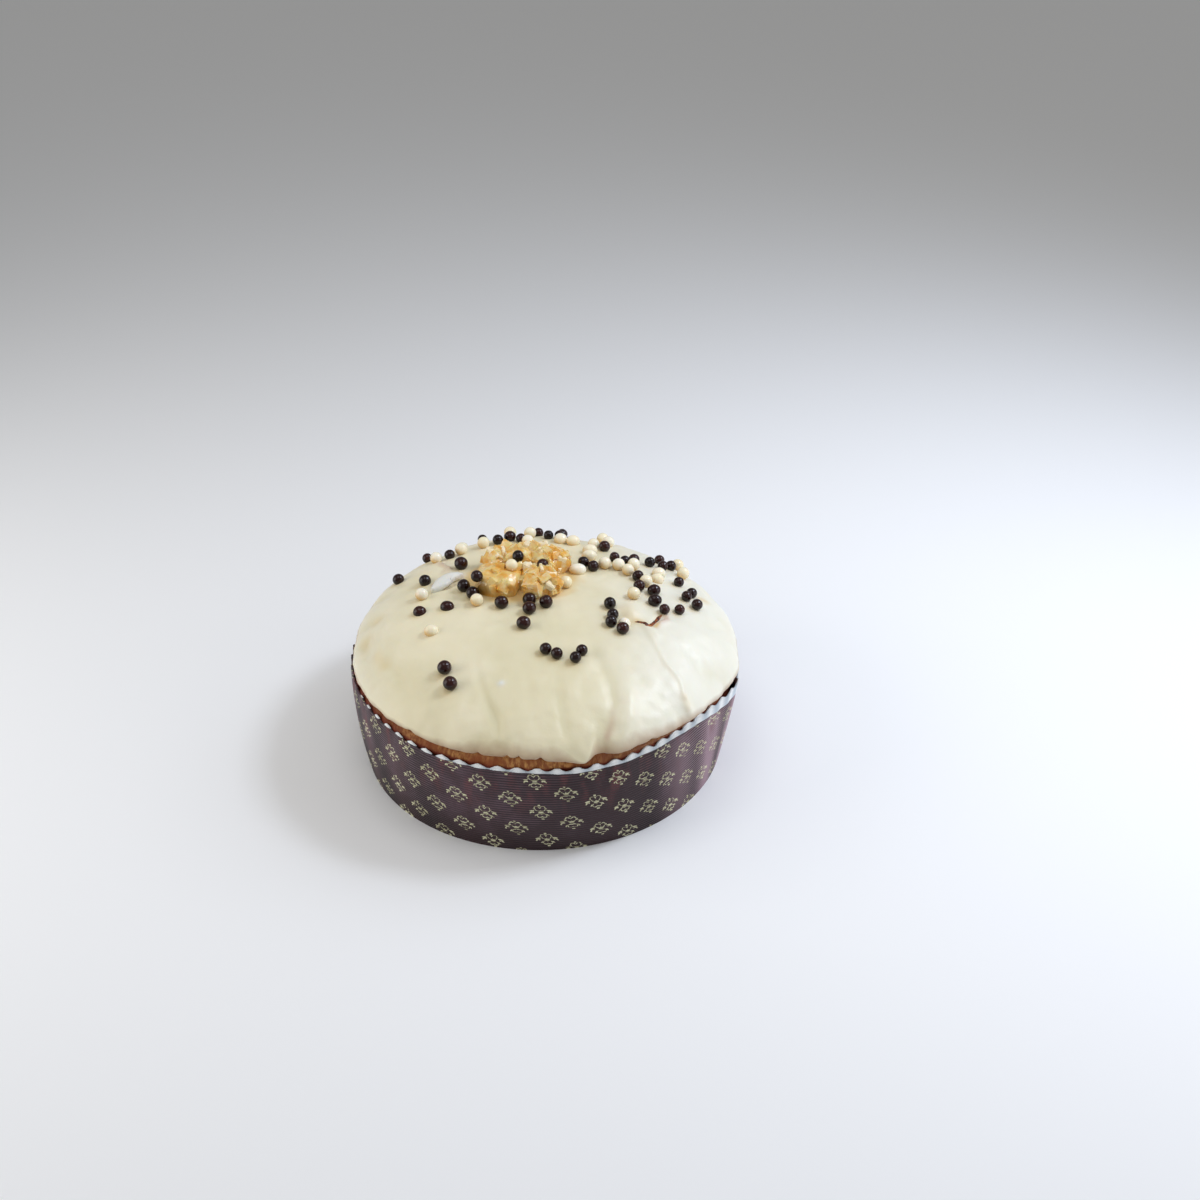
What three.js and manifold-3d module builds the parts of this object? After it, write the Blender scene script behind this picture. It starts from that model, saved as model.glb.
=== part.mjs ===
// A low pear and chocolate panettone in its paper baking case: a sweet domed loaf under a
// poured ivory coating, with chocolate pearls and candied pear set on the crown.
// Millimetres, +Z up, standing on the floor at Z = 0. The side seen first faces -Y.
// Bearings are degrees round the loaf: 0 is +X, 90 is +Y and -90 is the front.

import * as THREE from 'three';
import { mergeVertices } from 'three/addons/utils/BufferGeometryUtils.js';
import Module from 'manifold-3d';

// Paper case
const BASE_RADIUS = 95.4;
const CREST_HEIGHT = 54;
const CREST_LEAN = 1.3;
const WALL_SWELL = 1.5;
const WALL_FLAT = { bearing: -14, width: 25, depth: 1.2 };
const PAPER_THICKNESS = 0.8;
const SCALLOPS = 67;
const SCALLOP_DEPTH = 2.3;
const FIRST_CREST_BEARING = -89.6;
const RIM_SAMPLES = 1440;
const WALL_LEVELS = [0, 0.5];

// Outer radius of the rim, a little out of round, at each bearing
const RIM_RADII = [
  [-180, 100], [-160, 99.6], [-148, 99.4], [-137, 99.5], [-127, 100.4], [-119, 100.9],
  [-107, 100.5], [-97, 99.7], [-90, 99.8], [-80, 100.7], [-67, 99.4], [-57, 97.2], [-47, 96],
  [-37, 96.1], [-30.5, 98], [-25.4, 100.2], [-20.5, 102.6], [-15, 104.4], [-9, 103], [0, 101.8],
  [14, 102], [30, 101], [50, 98.5], [75, 96.6], [100, 97.6], [125, 99.6], [150, 99.6],
];

// Clearance between neighbouring pieces
const GAP = 0.3;

// Loaf
const LOAF_RADIUS = 98.6;
const LOAF_EDGE = 3;
const LOAF_SIDE_LEVELS = [27, 45];
const LOAF_SIDE_GAP = 0.5;
const NECK_RISE = 0.6;
const LOAF_AROUND = 56;
const LOAF_DOME_ROWS = 8;

// Coated dome: its reach from the axis grows to the right and changes between the rear
// quarters. It is drawn in or pushed out in places: bearing, half width in degrees and mm.
const DOME_REACH = 101;
const REACH_SHIFT = 1;
const REACH_REAR = -1.6;
const REACH_CHANGES = [[-140, 30, -1.2], [-15, 8, 1.9]];
const DOME_RISE = 31;
const DOME_SPRING = 54;
const DOME_SHOULDER = 2.63;
const DOME_CROWN = 1.96;
const DOME_LEAN = 0.03;
const COAT_THICKNESS = 2.3;
const COAT_AROUND = 80;
const COAT_DOME_ROWS = 12;
const COAT_LOWER_ROWS = 3;
const NORMAL_STEP = 0.004;
const LIP_CLEARANCE = 0.9;

// The coating's rounded lower edge: in from the reach and up from the edge, then two rises
// up the outer face, and the height over the spring line at which the lump is closed inside
const LIP_PROFILE = [[10, 2], [1.5, 0], [0.5, 0.5]];
const LIP_RISES = [1.8, 5];
const LUMP_FLOOR = 6;

// Lower edge of the coating: height above the floor at each bearing
const LIP_HEIGHTS = [
  [-180, 59.5], [-163, 57.4], [-150, 57.6], [-138, 57], [-130, 58], [-117, 57.8], [-106, 58.6],
  [-98, 59.2], [-91, 58.9], [-84, 57.6], [-77, 55.4], [-73.5, 58.8], [-66, 57.4], [-61, 58.4],
  [-44, 58], [-34, 58], [-26, 56.4], [0, 56], [30, 58], [62, 56.5], [95, 59], [128, 57],
  [155, 59.5],
];

// Soft folds down the coating: bearing, half width in degrees, height in mm, and the share of
// the reach where each begins. It is at its full height part of the way down.
const FOLD_EASE = 0.6;
const FOLDS = [
  [-103, 4, -0.6, 0.72], [-112, 5, 0.4, 0.7], [-94, 5, 0.35, 0.62], [-81, 6, -0.3, 0.55],
  [-71, 3.5, -0.9, 0.72], [-63, 5, 0.5, 0.55], [-50, 6, -0.35, 0.6], [-38, 4, 0.5, 0.68],
  [-24, 4, -0.4, 0.7], [-12, 5, 0.4, 0.66], [22, 6, -0.6, 0.6], [48, 5, 0.6, 0.62],
  [76, 6, -0.5, 0.6], [104, 5, 0.7, 0.6], [131, 6, -0.6, 0.62], [158, 5, 0.5, 0.64],
];

// Lumps and dents in the coating: x, y, radius and height in mm
const LUMPS = [
  [-58, 34, 13, 1.8], [-49, 27, 7, 1.6], [-88, 26, 9, -1.3], [-91, 2, 10, -1.2],
  [-30, -30, 20, 0.8], [14, -26, 16, -0.8], [40, -42, 15, 0.8], [44, -8, 9, 1.2],
  [30, 8, 13, -0.8], [66, -30, 14, 0.8], [24, 62, 13, 1.2], [60, 62, 12, -0.9],
  [-30, 72, 13, 1.0],
];

// Chocolate pearls in short runs: x, y of the first, how many, and the heading of the run
const DARK_PEARL = 6.6;
const DARK_RUNS = [
  [-78, 37, 1, 0], [-62, 23, 1, 0], [-65, 61, 1, 0], [-52, 54, 1, 0], [-44, 36, 1, 0],
  [-40.5, 10.5, 1, 0], [-35.2, 2.9, 1, 0], [-62, -6, 1, 0], [-48, -5, 1, 0],
  [-20, -7, 1, 0], [-6, -5, 2, -88], [2.5, -7.1, 1, 0], [-8, -25, 1, 0], [9, -48, 2, 150],
  [18, -51, 2, 62], [-44.5, -54.1, 1, 0], [-41, -63.9, 1, 0], [34.8, -6.5, 1, 0],
  [36.2, -15.5, 2, -98], [41, -27, 1, 0], [-36, 79, 1, 0], [-26.3, 65.4, 1, 0],
  [-19.9, 69.8, 1, 0], [-13.8, 67.7, 1, 0], [-5, 85, 1, 0], [1, 75, 2, 8], [21, 35, 2, -38],
  [32, 57, 1, 0], [37.5, 43.8, 2, -29], [47.9, 44.2, 1, 0], [56.3, 43.6, 1, 0],
  [62, 54, 1, 0], [63.3, 42.8, 2, 45], [49.6, 24, 1, 0], [50, 13, 1, 0], [57.6, 10.8, 1, 0],
  [57.7, 0.6, 1, 0], [71.3, 27.1, 1, 0], [74.4, 11.4, 2, 62], [79.4, 5.6, 1, 0],
  [63.2, -5.6, 2, 22], [-37, 92, 1, 0], [-22, 93, 1, 0], [8, 92, 1, 0], [-6, 97, 1, 0],
];
const IVORY_PEARL = 7;
const IVORY_RUNS = [
  [-59, 52, 1, 0], [-62, 8, 1, 0], [-33, -3, 1, 0], [-54, -25, 1, 0], [10.7, 11.8, 1, 0],
  [-34, 63, 1, 0], [-46, 58, 1, 0], [-9.4, 79.4, 1, 0], [-11, 64, 1, 0], [8, 68, 2, -20],
  [18, 27, 1, 0], [24, 44, 2, 88], [26.8, 60, 1, 0], [31, 80, 1, 0], [34.2, 67, 1, 0],
  [32.2, 35, 2, -8], [44, 29.5, 1, 0], [47.5, 36, 1, 0], [61, 33, 2, -98], [52, 20, 1, 0],
  [47, 4, 1, 0], [69.5, 50, 1, 0], [74, 40.7, 1, 0], [-20.5, 81, 1, 0], [41, -20, 1, 0],
  [31, 93, 1, 0], [-48, 86, 1, 0],
];
const RUN_PITCH = 1.05;
const PEARL_SINK = 1;
const PEARL_LIMIT = 0.985;
const SETTLING_ROUNDS = 30;

// Candied pear: name, x, y, half length, half width, half height, turn in degrees
const PEAR_CHUNKS = [
  ['pear_chunk_1', -1.5, 10, 10.5, 9.5, 6, 20],
  ['pear_chunk_2', -23.5, 12.5, 12.5, 10.5, 6, -12],
  ['pear_chunk_3', 3, 32.5, 11, 10, 6, 35],
  ['pear_chunk_4', -12, 33.5, 8, 9, 6.3, -20],
  ['pear_chunk_5', -24.5, 33, 7, 7.5, 5.5, 15],
];
const PEAR_SINK = 1.5;
const PEAR_SQUARENESS = 4;
const PEAR_CRAG = 0.9;
const PEAR_WAVES = [5, 4];
const PEAR_DETAIL = 1;

// Pearls lying between the chunks: the chunk each one sticks to, as its place in the list
// above, then x, y, height of its centre and diameter
const PEAR_PEARLS = [
  [3, -13, 25, 95.5, DARK_PEARL],
  [2, 0, 21.5, 92.5, DARK_PEARL],
  [1, -16, 15.5, 95.5, IVORY_PEARL],
  [1, -33.1, 5, 95.4, DARK_PEARL],
];

const wasm = await Module();
wasm.setup();

const cosDeg = (degrees) => Math.cos(THREE.MathUtils.degToRad(degrees));
const sinDeg = (degrees) => Math.sin(THREE.MathUtils.degToRad(degrees));
const mix = THREE.MathUtils.lerp;
const smooth = THREE.MathUtils.smoothstep;

/** The bearing of a place seen from the axis. */
function bearingOf(x, y) {
  return THREE.MathUtils.radToDeg(Math.atan2(y, x));
}

/** The turn from one bearing to another, between -180 and 180 degrees. */
function turnBetween(from, to) {
  return THREE.MathUtils.euclideanModulo(to - from + 180, 360) - 180;
}

/** A point at a bearing, radius and height. */
function polar(bearing, radius, height) {
  return new THREE.Vector3(radius * cosDeg(bearing), radius * sinDeg(bearing), height);
}

/** A value read from a ring of [bearing, value] pairs, eased between them. */
function ringValue(ring, bearing) {
  const past = (at) => THREE.MathUtils.euclideanModulo(at - ring[0][0], 360);
  const next = ring.findIndex(([at]) => past(at) > past(bearing));
  const after = next < 0 ? 0 : next;
  const before = (after + ring.length - 1) % ring.length;
  const span = THREE.MathUtils.euclideanModulo(ring[after][0] - ring[before][0], 360);
  const gone = past(bearing) - past(ring[before][0]);
  return mix(ring[before][1], ring[after][1], smooth(gone / span, 0, 1));
}

/** A smooth hump that is 1 at its middle and fades with the distance, in half widths. */
function hump(distance) {
  return Math.exp(-distance * distance);
}

/** Outer radius of the case's wall, which swells slightly half way up, less at one place. */
function wallRadius(bearing, height) {
  const share = height / CREST_HEIGHT;
  const flat = WALL_FLAT.depth * hump(turnBetween(WALL_FLAT.bearing, bearing) / WALL_FLAT.width);
  const swell = (WALL_SWELL - flat) * 4 * share * (1 - share);
  return mix(BASE_RADIUS, ringValue(RIM_RADII, bearing), share) + swell;
}

/** Height of the rim's crests, higher at the left than at the right. */
function crestHeight(bearing) {
  return CREST_HEIGHT - CREST_LEAN * cosDeg(bearing);
}

/** How far the coated dome reaches from the axis at its widest. */
function domeReach(bearing) {
  const rear = REACH_REAR * sinDeg(2 * bearing) * Math.max(0, sinDeg(bearing));
  const changes = REACH_CHANGES.reduce((sum, [at, width, change]) => {
    return sum + change * hump(turnBetween(at, bearing) / width);
  }, 0);
  return DOME_REACH + REACH_SHIFT * cosDeg(bearing) + rear + changes;
}

/** Height of the dome over its spring line, at a share of the reach. */
function domeRise(bearing, share, inset) {
  const lean = 1 + DOME_LEAN * share * sinDeg(bearing);
  return (DOME_RISE - inset) * (1 - share ** DOME_SHOULDER) ** (1 / DOME_CROWN) * lean;
}

/** A point of the dome, with its surface moved in by an inset. */
function domePoint(bearing, share, inset) {
  const radius = (domeReach(bearing) - inset) * share;
  return polar(bearing, radius, DOME_SPRING + domeRise(bearing, share, inset));
}

/** The share of the reach at which the dome stands at a height. */
function shareAtHeight(height) {
  const rise = Math.max(0, height - DOME_SPRING) / DOME_RISE;
  return (1 - rise ** DOME_CROWN) ** (1 / DOME_SHOULDER);
}

/** The way out of the dome at a bearing and share. */
function domeNormal(bearing, share) {
  if (share < NORMAL_STEP) {
    return new THREE.Vector3(0, 0, 1);
  }
  const low = domePoint(bearing, Math.min(1, share + NORMAL_STEP), 0);
  const high = domePoint(bearing, share - NORMAL_STEP, 0);
  const slope = (high.z - low.z) / Math.hypot(low.x - high.x, low.y - high.y);
  return polar(bearing, slope, 1).normalize();
}

/** Relief of the coating: folds that run down the side, lumps and dents. */
function coatRelief(bearing, share) {
  const place = polar(bearing, domeReach(bearing) * share, 0);
  const folds = FOLDS.reduce((sum, [at, width, height, top]) => {
    const down = smooth(share, top, mix(top, 1, FOLD_EASE));
    return sum + height * hump(turnBetween(at, bearing) / width) * down;
  }, 0);
  const lumps = LUMPS.reduce((sum, [x, y, radius, height]) => {
    return sum + height * hump(Math.SQRT2 * Math.hypot(place.x - x, place.y - y) / radius);
  }, 0);
  return folds + lumps;
}

/** A point on the coating's outer face. */
function coatPoint(bearing, share, grow = 0) {
  const normal = domeNormal(bearing, share);
  return domePoint(bearing, share, 0).addScaledVector(normal, coatRelief(bearing, share) + grow);
}

/** Height of the coating's lower edge, kept clear of the rim. */
function lipHeight(bearing) {
  return Math.max(ringValue(LIP_HEIGHTS, bearing), crestHeight(bearing) + LIP_CLEARANCE);
}

/** A closed turned body whose rows of vertices are then put in place, from the axis round to it. */
function turned(rowCount, around, place, closed = false) {
  const profile = [];
  for (let row = 0; row < rowCount; row += 1) {
    profile.push(new THREE.Vector2(1, row));
  }
  if (closed) {
    profile.push(new THREE.Vector2(1, 0));
  }
  const geometry = new THREE.LatheGeometry(profile, around);
  const position = geometry.getAttribute('position');
  for (let i = 0; i < position.count; i += 1) {
    const row = i % profile.length;
    const turn = Math.floor(i / profile.length) % around;
    const point = place((360 * turn) / around, row % rowCount, turn);
    position.setXYZ(i, point.x, point.y, point.z);
  }
  return welded(geometry);
}

/** The geometry with shared vertices merged and its collapsed triangles left out. */
function welded(geometry) {
  geometry.deleteAttribute('normal');
  geometry.deleteAttribute('uv');
  const merged = mergeVertices(geometry, 1e-4);
  const index = merged.getIndex().array;
  const kept = [];
  for (let i = 0; i < index.length; i += 3) {
    const [a, b, c] = [index[i], index[i + 1], index[i + 2]];
    if (a !== b && b !== c && c !== a) {
      kept.push(a, b, c);
    }
  }
  merged.setIndex(kept);
  return merged;
}

/** The geometry as a solid that can be joined and cut. */
function toSolid(geometry) {
  const vertProperties = new Float32Array(geometry.getAttribute('position').array);
  const triVerts = new Uint32Array(geometry.getIndex().array);
  return new wasm.Manifold(new wasm.Mesh({ numProp: 3, vertProperties, triVerts }));
}

/** The solid's faces as a geometry. */
function toGeometry(solid) {
  const mesh = solid.getMesh();
  const geometry = new THREE.BufferGeometry();
  const position = new THREE.BufferAttribute(new Float32Array(mesh.vertProperties), 3);
  geometry.setAttribute('position', position);
  geometry.setIndex(new THREE.BufferAttribute(new Uint32Array(mesh.triVerts), 1));
  return geometry;
}

/** The rim's bearings at even steps along the paper, beginning at a crest. */
function rimBearings(steps) {
  const bearingAt = (sample) => FIRST_CREST_BEARING + (360 * sample) / RIM_SAMPLES;
  const rimAt = (sample) => {
    return polar(bearingAt(sample), ringValue(RIM_RADII, bearingAt(sample)), 0);
  };
  const lengths = [0];
  for (let i = 1; i <= RIM_SAMPLES; i += 1) {
    lengths.push(lengths[i - 1] + rimAt(i - 1).distanceTo(rimAt(i)));
  }
  return Array.from({ length: steps }, (_, step) => {
    const wanted = (lengths[RIM_SAMPLES] * step) / steps;
    const after = Math.max(1, lengths.findIndex((length) => length >= wanted));
    const share = (wanted - lengths[after - 1]) / (lengths[after] - lengths[after - 1]);
    return bearingAt(after - 1 + share);
  });
}

/** The wall of the case: a paper ring, scalloped along its rim. */
function buildCaseWall() {
  const bearings = rimBearings(SCALLOPS * 2);
  const outerRows = WALL_LEVELS.length + 1;
  return turned(outerRows * 2, bearings.length, (_, row, turn) => {
    const bearing = bearings[turn];
    const inside = row >= outerRows;
    const level = inside ? outerRows * 2 - 1 - row : row;
    const rim = crestHeight(bearing) - (turn % 2) * SCALLOP_DEPTH;
    const height = level < WALL_LEVELS.length ? WALL_LEVELS[level] * CREST_HEIGHT : rim;
    return polar(bearing, wallRadius(bearing, height) - (inside ? PAPER_THICKNESS : 0), height);
  }, true);
}

/** The base of the case: a paper disc inside the foot of the wall. */
function buildCaseBase() {
  const radius = BASE_RADIUS - PAPER_THICKNESS - GAP;
  const disc = new THREE.CylinderGeometry(radius, radius, PAPER_THICKNESS, LOAF_AROUND);
  disc.rotateX(Math.PI / 2);
  disc.translate(0, 0, PAPER_THICKNESS / 2);
  return disc;
}

/** Radius of the loaf's side inside the case. */
function loafRadius(bearing, height, grow) {
  const room = wallRadius(bearing, height) - PAPER_THICKNESS - LOAF_SIDE_GAP;
  return Math.min(room, LOAF_RADIUS) + grow;
}

/** The loaf: straight in the case, spreading over the rim and domed above it. */
function loafShape(grow) {
  const floor = PAPER_THICKNESS + GAP - grow;
  const inset = COAT_THICKNESS + GAP - grow;
  const sides = LOAF_SIDE_LEVELS.length;
  const domeFrom = sides + 4;
  return turned(domeFrom + LOAF_DOME_ROWS, LOAF_AROUND, (bearing, row) => {
    if (row === 0) {
      return new THREE.Vector3(0, 0, floor);
    }
    if (row === 1) {
      return polar(bearing, loafRadius(bearing, floor, grow) - LOAF_EDGE, floor);
    }
    if (row === 2) {
      return polar(bearing, loafRadius(bearing, floor + LOAF_EDGE, grow), floor + LOAF_EDGE);
    }
    if (row < sides + 3) {
      const height = LOAF_SIDE_LEVELS[row - 3];
      return polar(bearing, loafRadius(bearing, height, grow), height);
    }
    if (row < domeFrom) {
      const height = crestHeight(bearing) + NECK_RISE;
      return polar(bearing, loafRadius(bearing, CREST_HEIGHT, grow), height);
    }
    const share = cosDeg((90 * (row - domeFrom + 1)) / LOAF_DOME_ROWS);
    return domePoint(bearing, Math.max(0, share), inset);
  });
}

/** The coated dome as a solid lump, from its rounded lower edge to the crown. */
function coatLump(grow) {
  const outerFrom = LIP_PROFILE.length + 1;
  const domeFrom = outerFrom + LIP_RISES.length;
  const upperRows = COAT_DOME_ROWS - COAT_LOWER_ROWS + 1;
  return turned(domeFrom + upperRows, COAT_AROUND, (bearing, row) => {
    const lip = lipHeight(bearing) - grow;
    if (row === 0) {
      return new THREE.Vector3(0, 0, DOME_SPRING + LUMP_FLOOR);
    }
    if (row < outerFrom) {
      const [inward, rise] = LIP_PROFILE[row - 1];
      const reach = domeReach(bearing) + coatRelief(bearing, 1) + grow;
      return polar(bearing, reach - inward, lip + rise);
    }
    if (row < domeFrom) {
      return coatPoint(bearing, shareAtHeight(lip + LIP_RISES[row - outerFrom]), grow);
    }
    const share = cosDeg((90 * (row - domeFrom + COAT_LOWER_ROWS)) / COAT_DOME_ROWS);
    return coatPoint(bearing, Math.max(0, share), grow);
  });
}

/** Where each pearl on the coating lies, from the runs, as [x, y, diameter]. */
function pearlPlaces() {
  const places = [];
  for (const [runs, diameter] of [[DARK_RUNS, DARK_PEARL], [IVORY_RUNS, IVORY_PEARL]]) {
    for (const [x, y, count, heading] of runs) {
      for (let i = 0; i < count; i += 1) {
        const step = i * diameter * RUN_PITCH;
        places.push([x + step * cosDeg(heading), y + step * sinDeg(heading), diameter]);
      }
    }
  }
  return settled(places);
}

/** Moves a place straight away from another until they are a given distance apart. */
function pushed(place, from, distance) {
  const apart = Math.hypot(place[0] - from[0], place[1] - from[1]);
  const push = Math.max(0, distance - apart) / apart;
  place[0] += (place[0] - from[0]) * push;
  place[1] += (place[1] - from[1]) * push;
}

/** The places after pearls have nudged each other apart and off the pear's middle. */
function settled(places) {
  for (let round = 0; round < SETTLING_ROUNDS; round += 1) {
    for (const [i, place] of places.entries()) {
      for (const other of places.slice(0, i)) {
        pushed(place, other, (place[2] + other[2]) / 2);
      }
      for (const [, x, y, length, width] of PEAR_CHUNKS) {
        pushed(place, [x, y], (length + width + place[2]) / 2 + GAP);
      }
    }
  }
  return places;
}

/** A pearl with few sides. */
function pearlSolid(centre, diameter) {
  const ball = new THREE.OctahedronGeometry(diameter / 2, 1);
  ball.rotateZ(centre.x);
  ball.translate(centre.x, centre.y, centre.z);
  return toSolid(welded(ball));
}

/** The coated lump with its pearls, all grown by an amount. */
function toppedLump(grow) {
  return pearlPlaces().reduce((lump, [x, y, diameter]) => {
    const bearing = bearingOf(x, y);
    const share = Math.min(PEARL_LIMIT, Math.hypot(x, y) / domeReach(bearing));
    const centre = coatPoint(bearing, share, diameter / 2 - PEARL_SINK);
    return lump.add(pearlSolid(centre, diameter + 2 * grow));
  }, toSolid(coatLump(grow)));
}

/** Height of the coating under a place. */
function coatHeight(x, y) {
  const bearing = bearingOf(x, y);
  return coatPoint(bearing, Math.hypot(x, y) / domeReach(bearing)).z;
}

/** A sugared chunk of pear: a rounded block with uneven sides, grown by an amount. */
function pearLump([, x, y, length, width, height, turn], grow) {
  const shape = welded(new THREE.IcosahedronGeometry(1, PEAR_DETAIL));
  const position = shape.getAttribute('position');
  const point = new THREE.Vector3();
  for (let i = 0; i < position.count; i += 1) {
    point.fromBufferAttribute(position, i);
    const powers = point.toArray().map((part) => Math.abs(part) ** PEAR_SQUARENESS);
    const size = powers.reduce((sum, power) => sum + power, 0) ** (1 / PEAR_SQUARENESS);
    point.divideScalar(size);
    const along = Math.sin(PEAR_WAVES[0] * point.x + x);
    const across = Math.sin(PEAR_WAVES[1] * point.y + y);
    const crag = PEAR_CRAG * along * across;
    const more = crag + grow;
    point.multiply(new THREE.Vector3(length + more, width + more, height + more));
    position.setXYZ(i, point.x, point.y, point.z);
  }
  shape.rotateZ(THREE.MathUtils.degToRad(turn));
  shape.translate(x, y, coatHeight(x, y) + height - PEAR_SINK);
  return toSolid(shape);
}

/** A pearl lying between the chunks of pear, grown by an amount. */
function pearlOnPear([, x, y, height, diameter], grow) {
  return pearlSolid(new THREE.Vector3(x, y, height), diameter + 2 * grow);
}

/** The candied pear: each chunk is clear of the coating, its pearls and the chunks before it. */
function buildPear() {
  const bed = toppedLump(GAP);
  return PEAR_CHUNKS.map((chunk, place) => {
    let solid = pearLump(chunk, 0).subtract(bed);
    for (const other of PEAR_CHUNKS.slice(0, place)) {
      solid = solid.subtract(pearLump(other, GAP));
    }
    for (const pearl of PEAR_PEARLS) {
      solid = pearl[0] === place
        ? solid.add(pearlOnPear(pearl, 0))
        : solid.subtract(pearlOnPear(pearl, GAP));
    }
    return [chunk[0], solid];
  });
}

const materials = {
  case_wall: new THREE.MeshStandardMaterial({ color: 0x4a3a42, roughness: 0.7, metalness: 0 }),
  case_base: new THREE.MeshStandardMaterial({ color: 0x6b4f3d, roughness: 0.8, metalness: 0 }),
  loaf: new THREE.MeshStandardMaterial({ color: 0x8a5528, roughness: 0.75, metalness: 0 }),
  coating: new THREE.MeshStandardMaterial({ color: 0xe9e4d0, roughness: 0.4, metalness: 0 }),
  pear: new THREE.MeshStandardMaterial({ color: 0xd9a441, roughness: 0.3, metalness: 0 }),
};

/** A mesh under its own name, with its own material. */
function named(name, geometry, material) {
  const mesh = new THREE.Mesh(geometry, material.clone());
  mesh.name = name;
  return mesh;
}

const group = new THREE.Group();
group.add(named('case_wall', buildCaseWall(), materials.case_wall));
group.add(named('case_base', buildCaseBase(), materials.case_base));
group.add(named('loaf', loafShape(0), materials.loaf));
// The coating with its pearls is hollow where the loaf is
const coating = toppedLump(0).subtract(toSolid(loafShape(GAP)));
group.add(named('coating', toGeometry(coating), materials.coating));
for (const [name, solid] of buildPear()) {
  group.add(named(name, toGeometry(solid), materials.pear));
}

// The middle of the whole outline stands over the origin
const middle = new THREE.Box3().setFromObject(group).getCenter(new THREE.Vector3());
group.position.set(-middle.x, -middle.y, 0);

export default group;
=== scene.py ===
"""Studio picture of a low pear and chocolate panettone in its paper baking case.

Shapes are worked out in millimetres about the middle of the case's base, with +Z up, and are
then put into the frame's metres. Bearings are degrees round the loaf: 0 is +X, 90 is +Y and the
side seen first faces -Y.
"""

import logging
import math
import random
from collections.abc import Sequence
from dataclasses import dataclass, field
from enum import Enum

import bmesh
import bpy
import numpy as np
from mathutils import Matrix, Vector, noise


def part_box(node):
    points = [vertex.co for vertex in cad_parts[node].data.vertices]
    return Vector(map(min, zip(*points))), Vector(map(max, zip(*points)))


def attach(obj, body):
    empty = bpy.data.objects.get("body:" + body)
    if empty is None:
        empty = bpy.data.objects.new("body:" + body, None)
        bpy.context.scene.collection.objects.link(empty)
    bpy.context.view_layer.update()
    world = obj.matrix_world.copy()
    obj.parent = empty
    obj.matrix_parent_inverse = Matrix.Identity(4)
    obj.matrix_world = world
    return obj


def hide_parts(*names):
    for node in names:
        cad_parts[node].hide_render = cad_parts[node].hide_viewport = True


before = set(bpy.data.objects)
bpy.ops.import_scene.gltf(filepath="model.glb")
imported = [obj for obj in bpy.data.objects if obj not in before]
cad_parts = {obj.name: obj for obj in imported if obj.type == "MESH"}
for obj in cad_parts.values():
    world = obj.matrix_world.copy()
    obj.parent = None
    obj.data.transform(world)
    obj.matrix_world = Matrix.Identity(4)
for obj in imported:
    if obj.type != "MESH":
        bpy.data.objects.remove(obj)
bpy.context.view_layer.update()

logging.basicConfig(level=logging.INFO, format="%(message)s")
log = logging.getLogger("panettone")

MM = 0.001
RIB_PITCH = 1.5
SHEET_UNIT = 100.0
BODY = "root"
COLOURS = {"data_type": "RGBA"}
EASED = {"interpolation_type": "SMOOTHSTEP"}

Array = np.ndarray
Mesh = bpy.types.Mesh
Node = bpy.types.Node
Tree = bpy.types.NodeTree
Pair = tuple[float, float]
Triple = tuple[float, float, float]
Ring = tuple[Pair, ...]


class Slot(Enum):
    """The record's material slots."""

    CASE_WALL = "case_wall"
    CASE_BASE = "case_base"
    LOAF = "loaf"
    COATING = "coating"
    PEAR = "candied_pear"


class Chocolate(Enum):
    """The two kinds of pearl."""

    DARK = "dark"
    IVORY = "ivory"


class Tint(Enum):
    """What changes the coating's colour in places."""

    # The syrup tint also carries painted shade: in hollows at the left and beside the dark pearls
    SYRUP_AND_SHADE = "syrup"
    THIN = "thin"
    BLOOM = "bloom"


# Numbers and forms


def hump(distance: Array) -> Array:
    """A smooth hump: 1 at its middle, fading with the distance in half widths."""
    return np.exp(-np.square(distance))


def smooth(value: Array, low: float, high: float) -> Array:
    """An eased step from 0 at low to 1 at high."""
    share = np.clip((value - low) / (high - low), 0.0, 1.0)
    return share * share * (3.0 - 2.0 * share)


def mix(low: Array, high: Array, share: Array) -> Array:
    """The value at a share of the way from low to high."""
    return low + (high - low) * share


def turn_between(start: float, end: Array) -> Array:
    """The turn from one bearing to another, between -180 and 180 degrees."""
    return (end - start + 180.0) % 360.0 - 180.0


def polar(bearing: Array, radius: Array, height: Array) -> Array:
    """Puts points at bearings, radii and heights.

    Args:
        bearing: Bearings in degrees.
        radius: Distances from the axis.
        height: Heights.

    Returns:
        The points, one to a row.
    """
    turn = np.radians(bearing)
    x, y, z = np.broadcast_arrays(radius * np.cos(turn), radius * np.sin(turn), height)
    return np.stack([x, y, z], axis=-1)


def unevenness(points: Array, size: float, octaves: int = 3, seed: float = 0.0) -> Array:
    """Smooth unevenness about zero, from a fixed field.

    Args:
        points: Places in mm, one to a row.
        size: How far apart the humps are, in mm.
        octaves: How many finer layers are added.
        seed: Which part of the field is read.

    Returns:
        One value to a place, mostly between -1 and 1.
    """
    shift = Vector((17.3, 5.9, 11.7)) * (seed + 1.0)
    layers = (0.9, 2.0, octaves)  # how fast they weaken, how much finer each is, how many
    return np.array([noise.fractal(Vector(p) / size + shift, *layers) for p in points])


def ring_value(ring: Ring, bearing: Array) -> Array:
    """Reads a value from a ring of (bearing, value) pairs, eased between them.

    Args:
        ring: The pairs, with rising bearings.
        bearing: Where to read.

    Returns:
        One value to a bearing.
    """
    at = np.array([pair[0] for pair in ring] + [ring[0][0] + 360.0])
    value = np.array([pair[1] for pair in ring] + [ring[0][1]])
    past = (bearing - at[0]) % 360.0 + at[0]
    after = np.clip(np.searchsorted(at, past, side="right"), 1, len(at) - 1)
    share = (past - at[after - 1]) / (at[after] - at[after - 1])
    return mix(value[after - 1], value[after], share * share * (3.0 - 2.0 * share))


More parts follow.
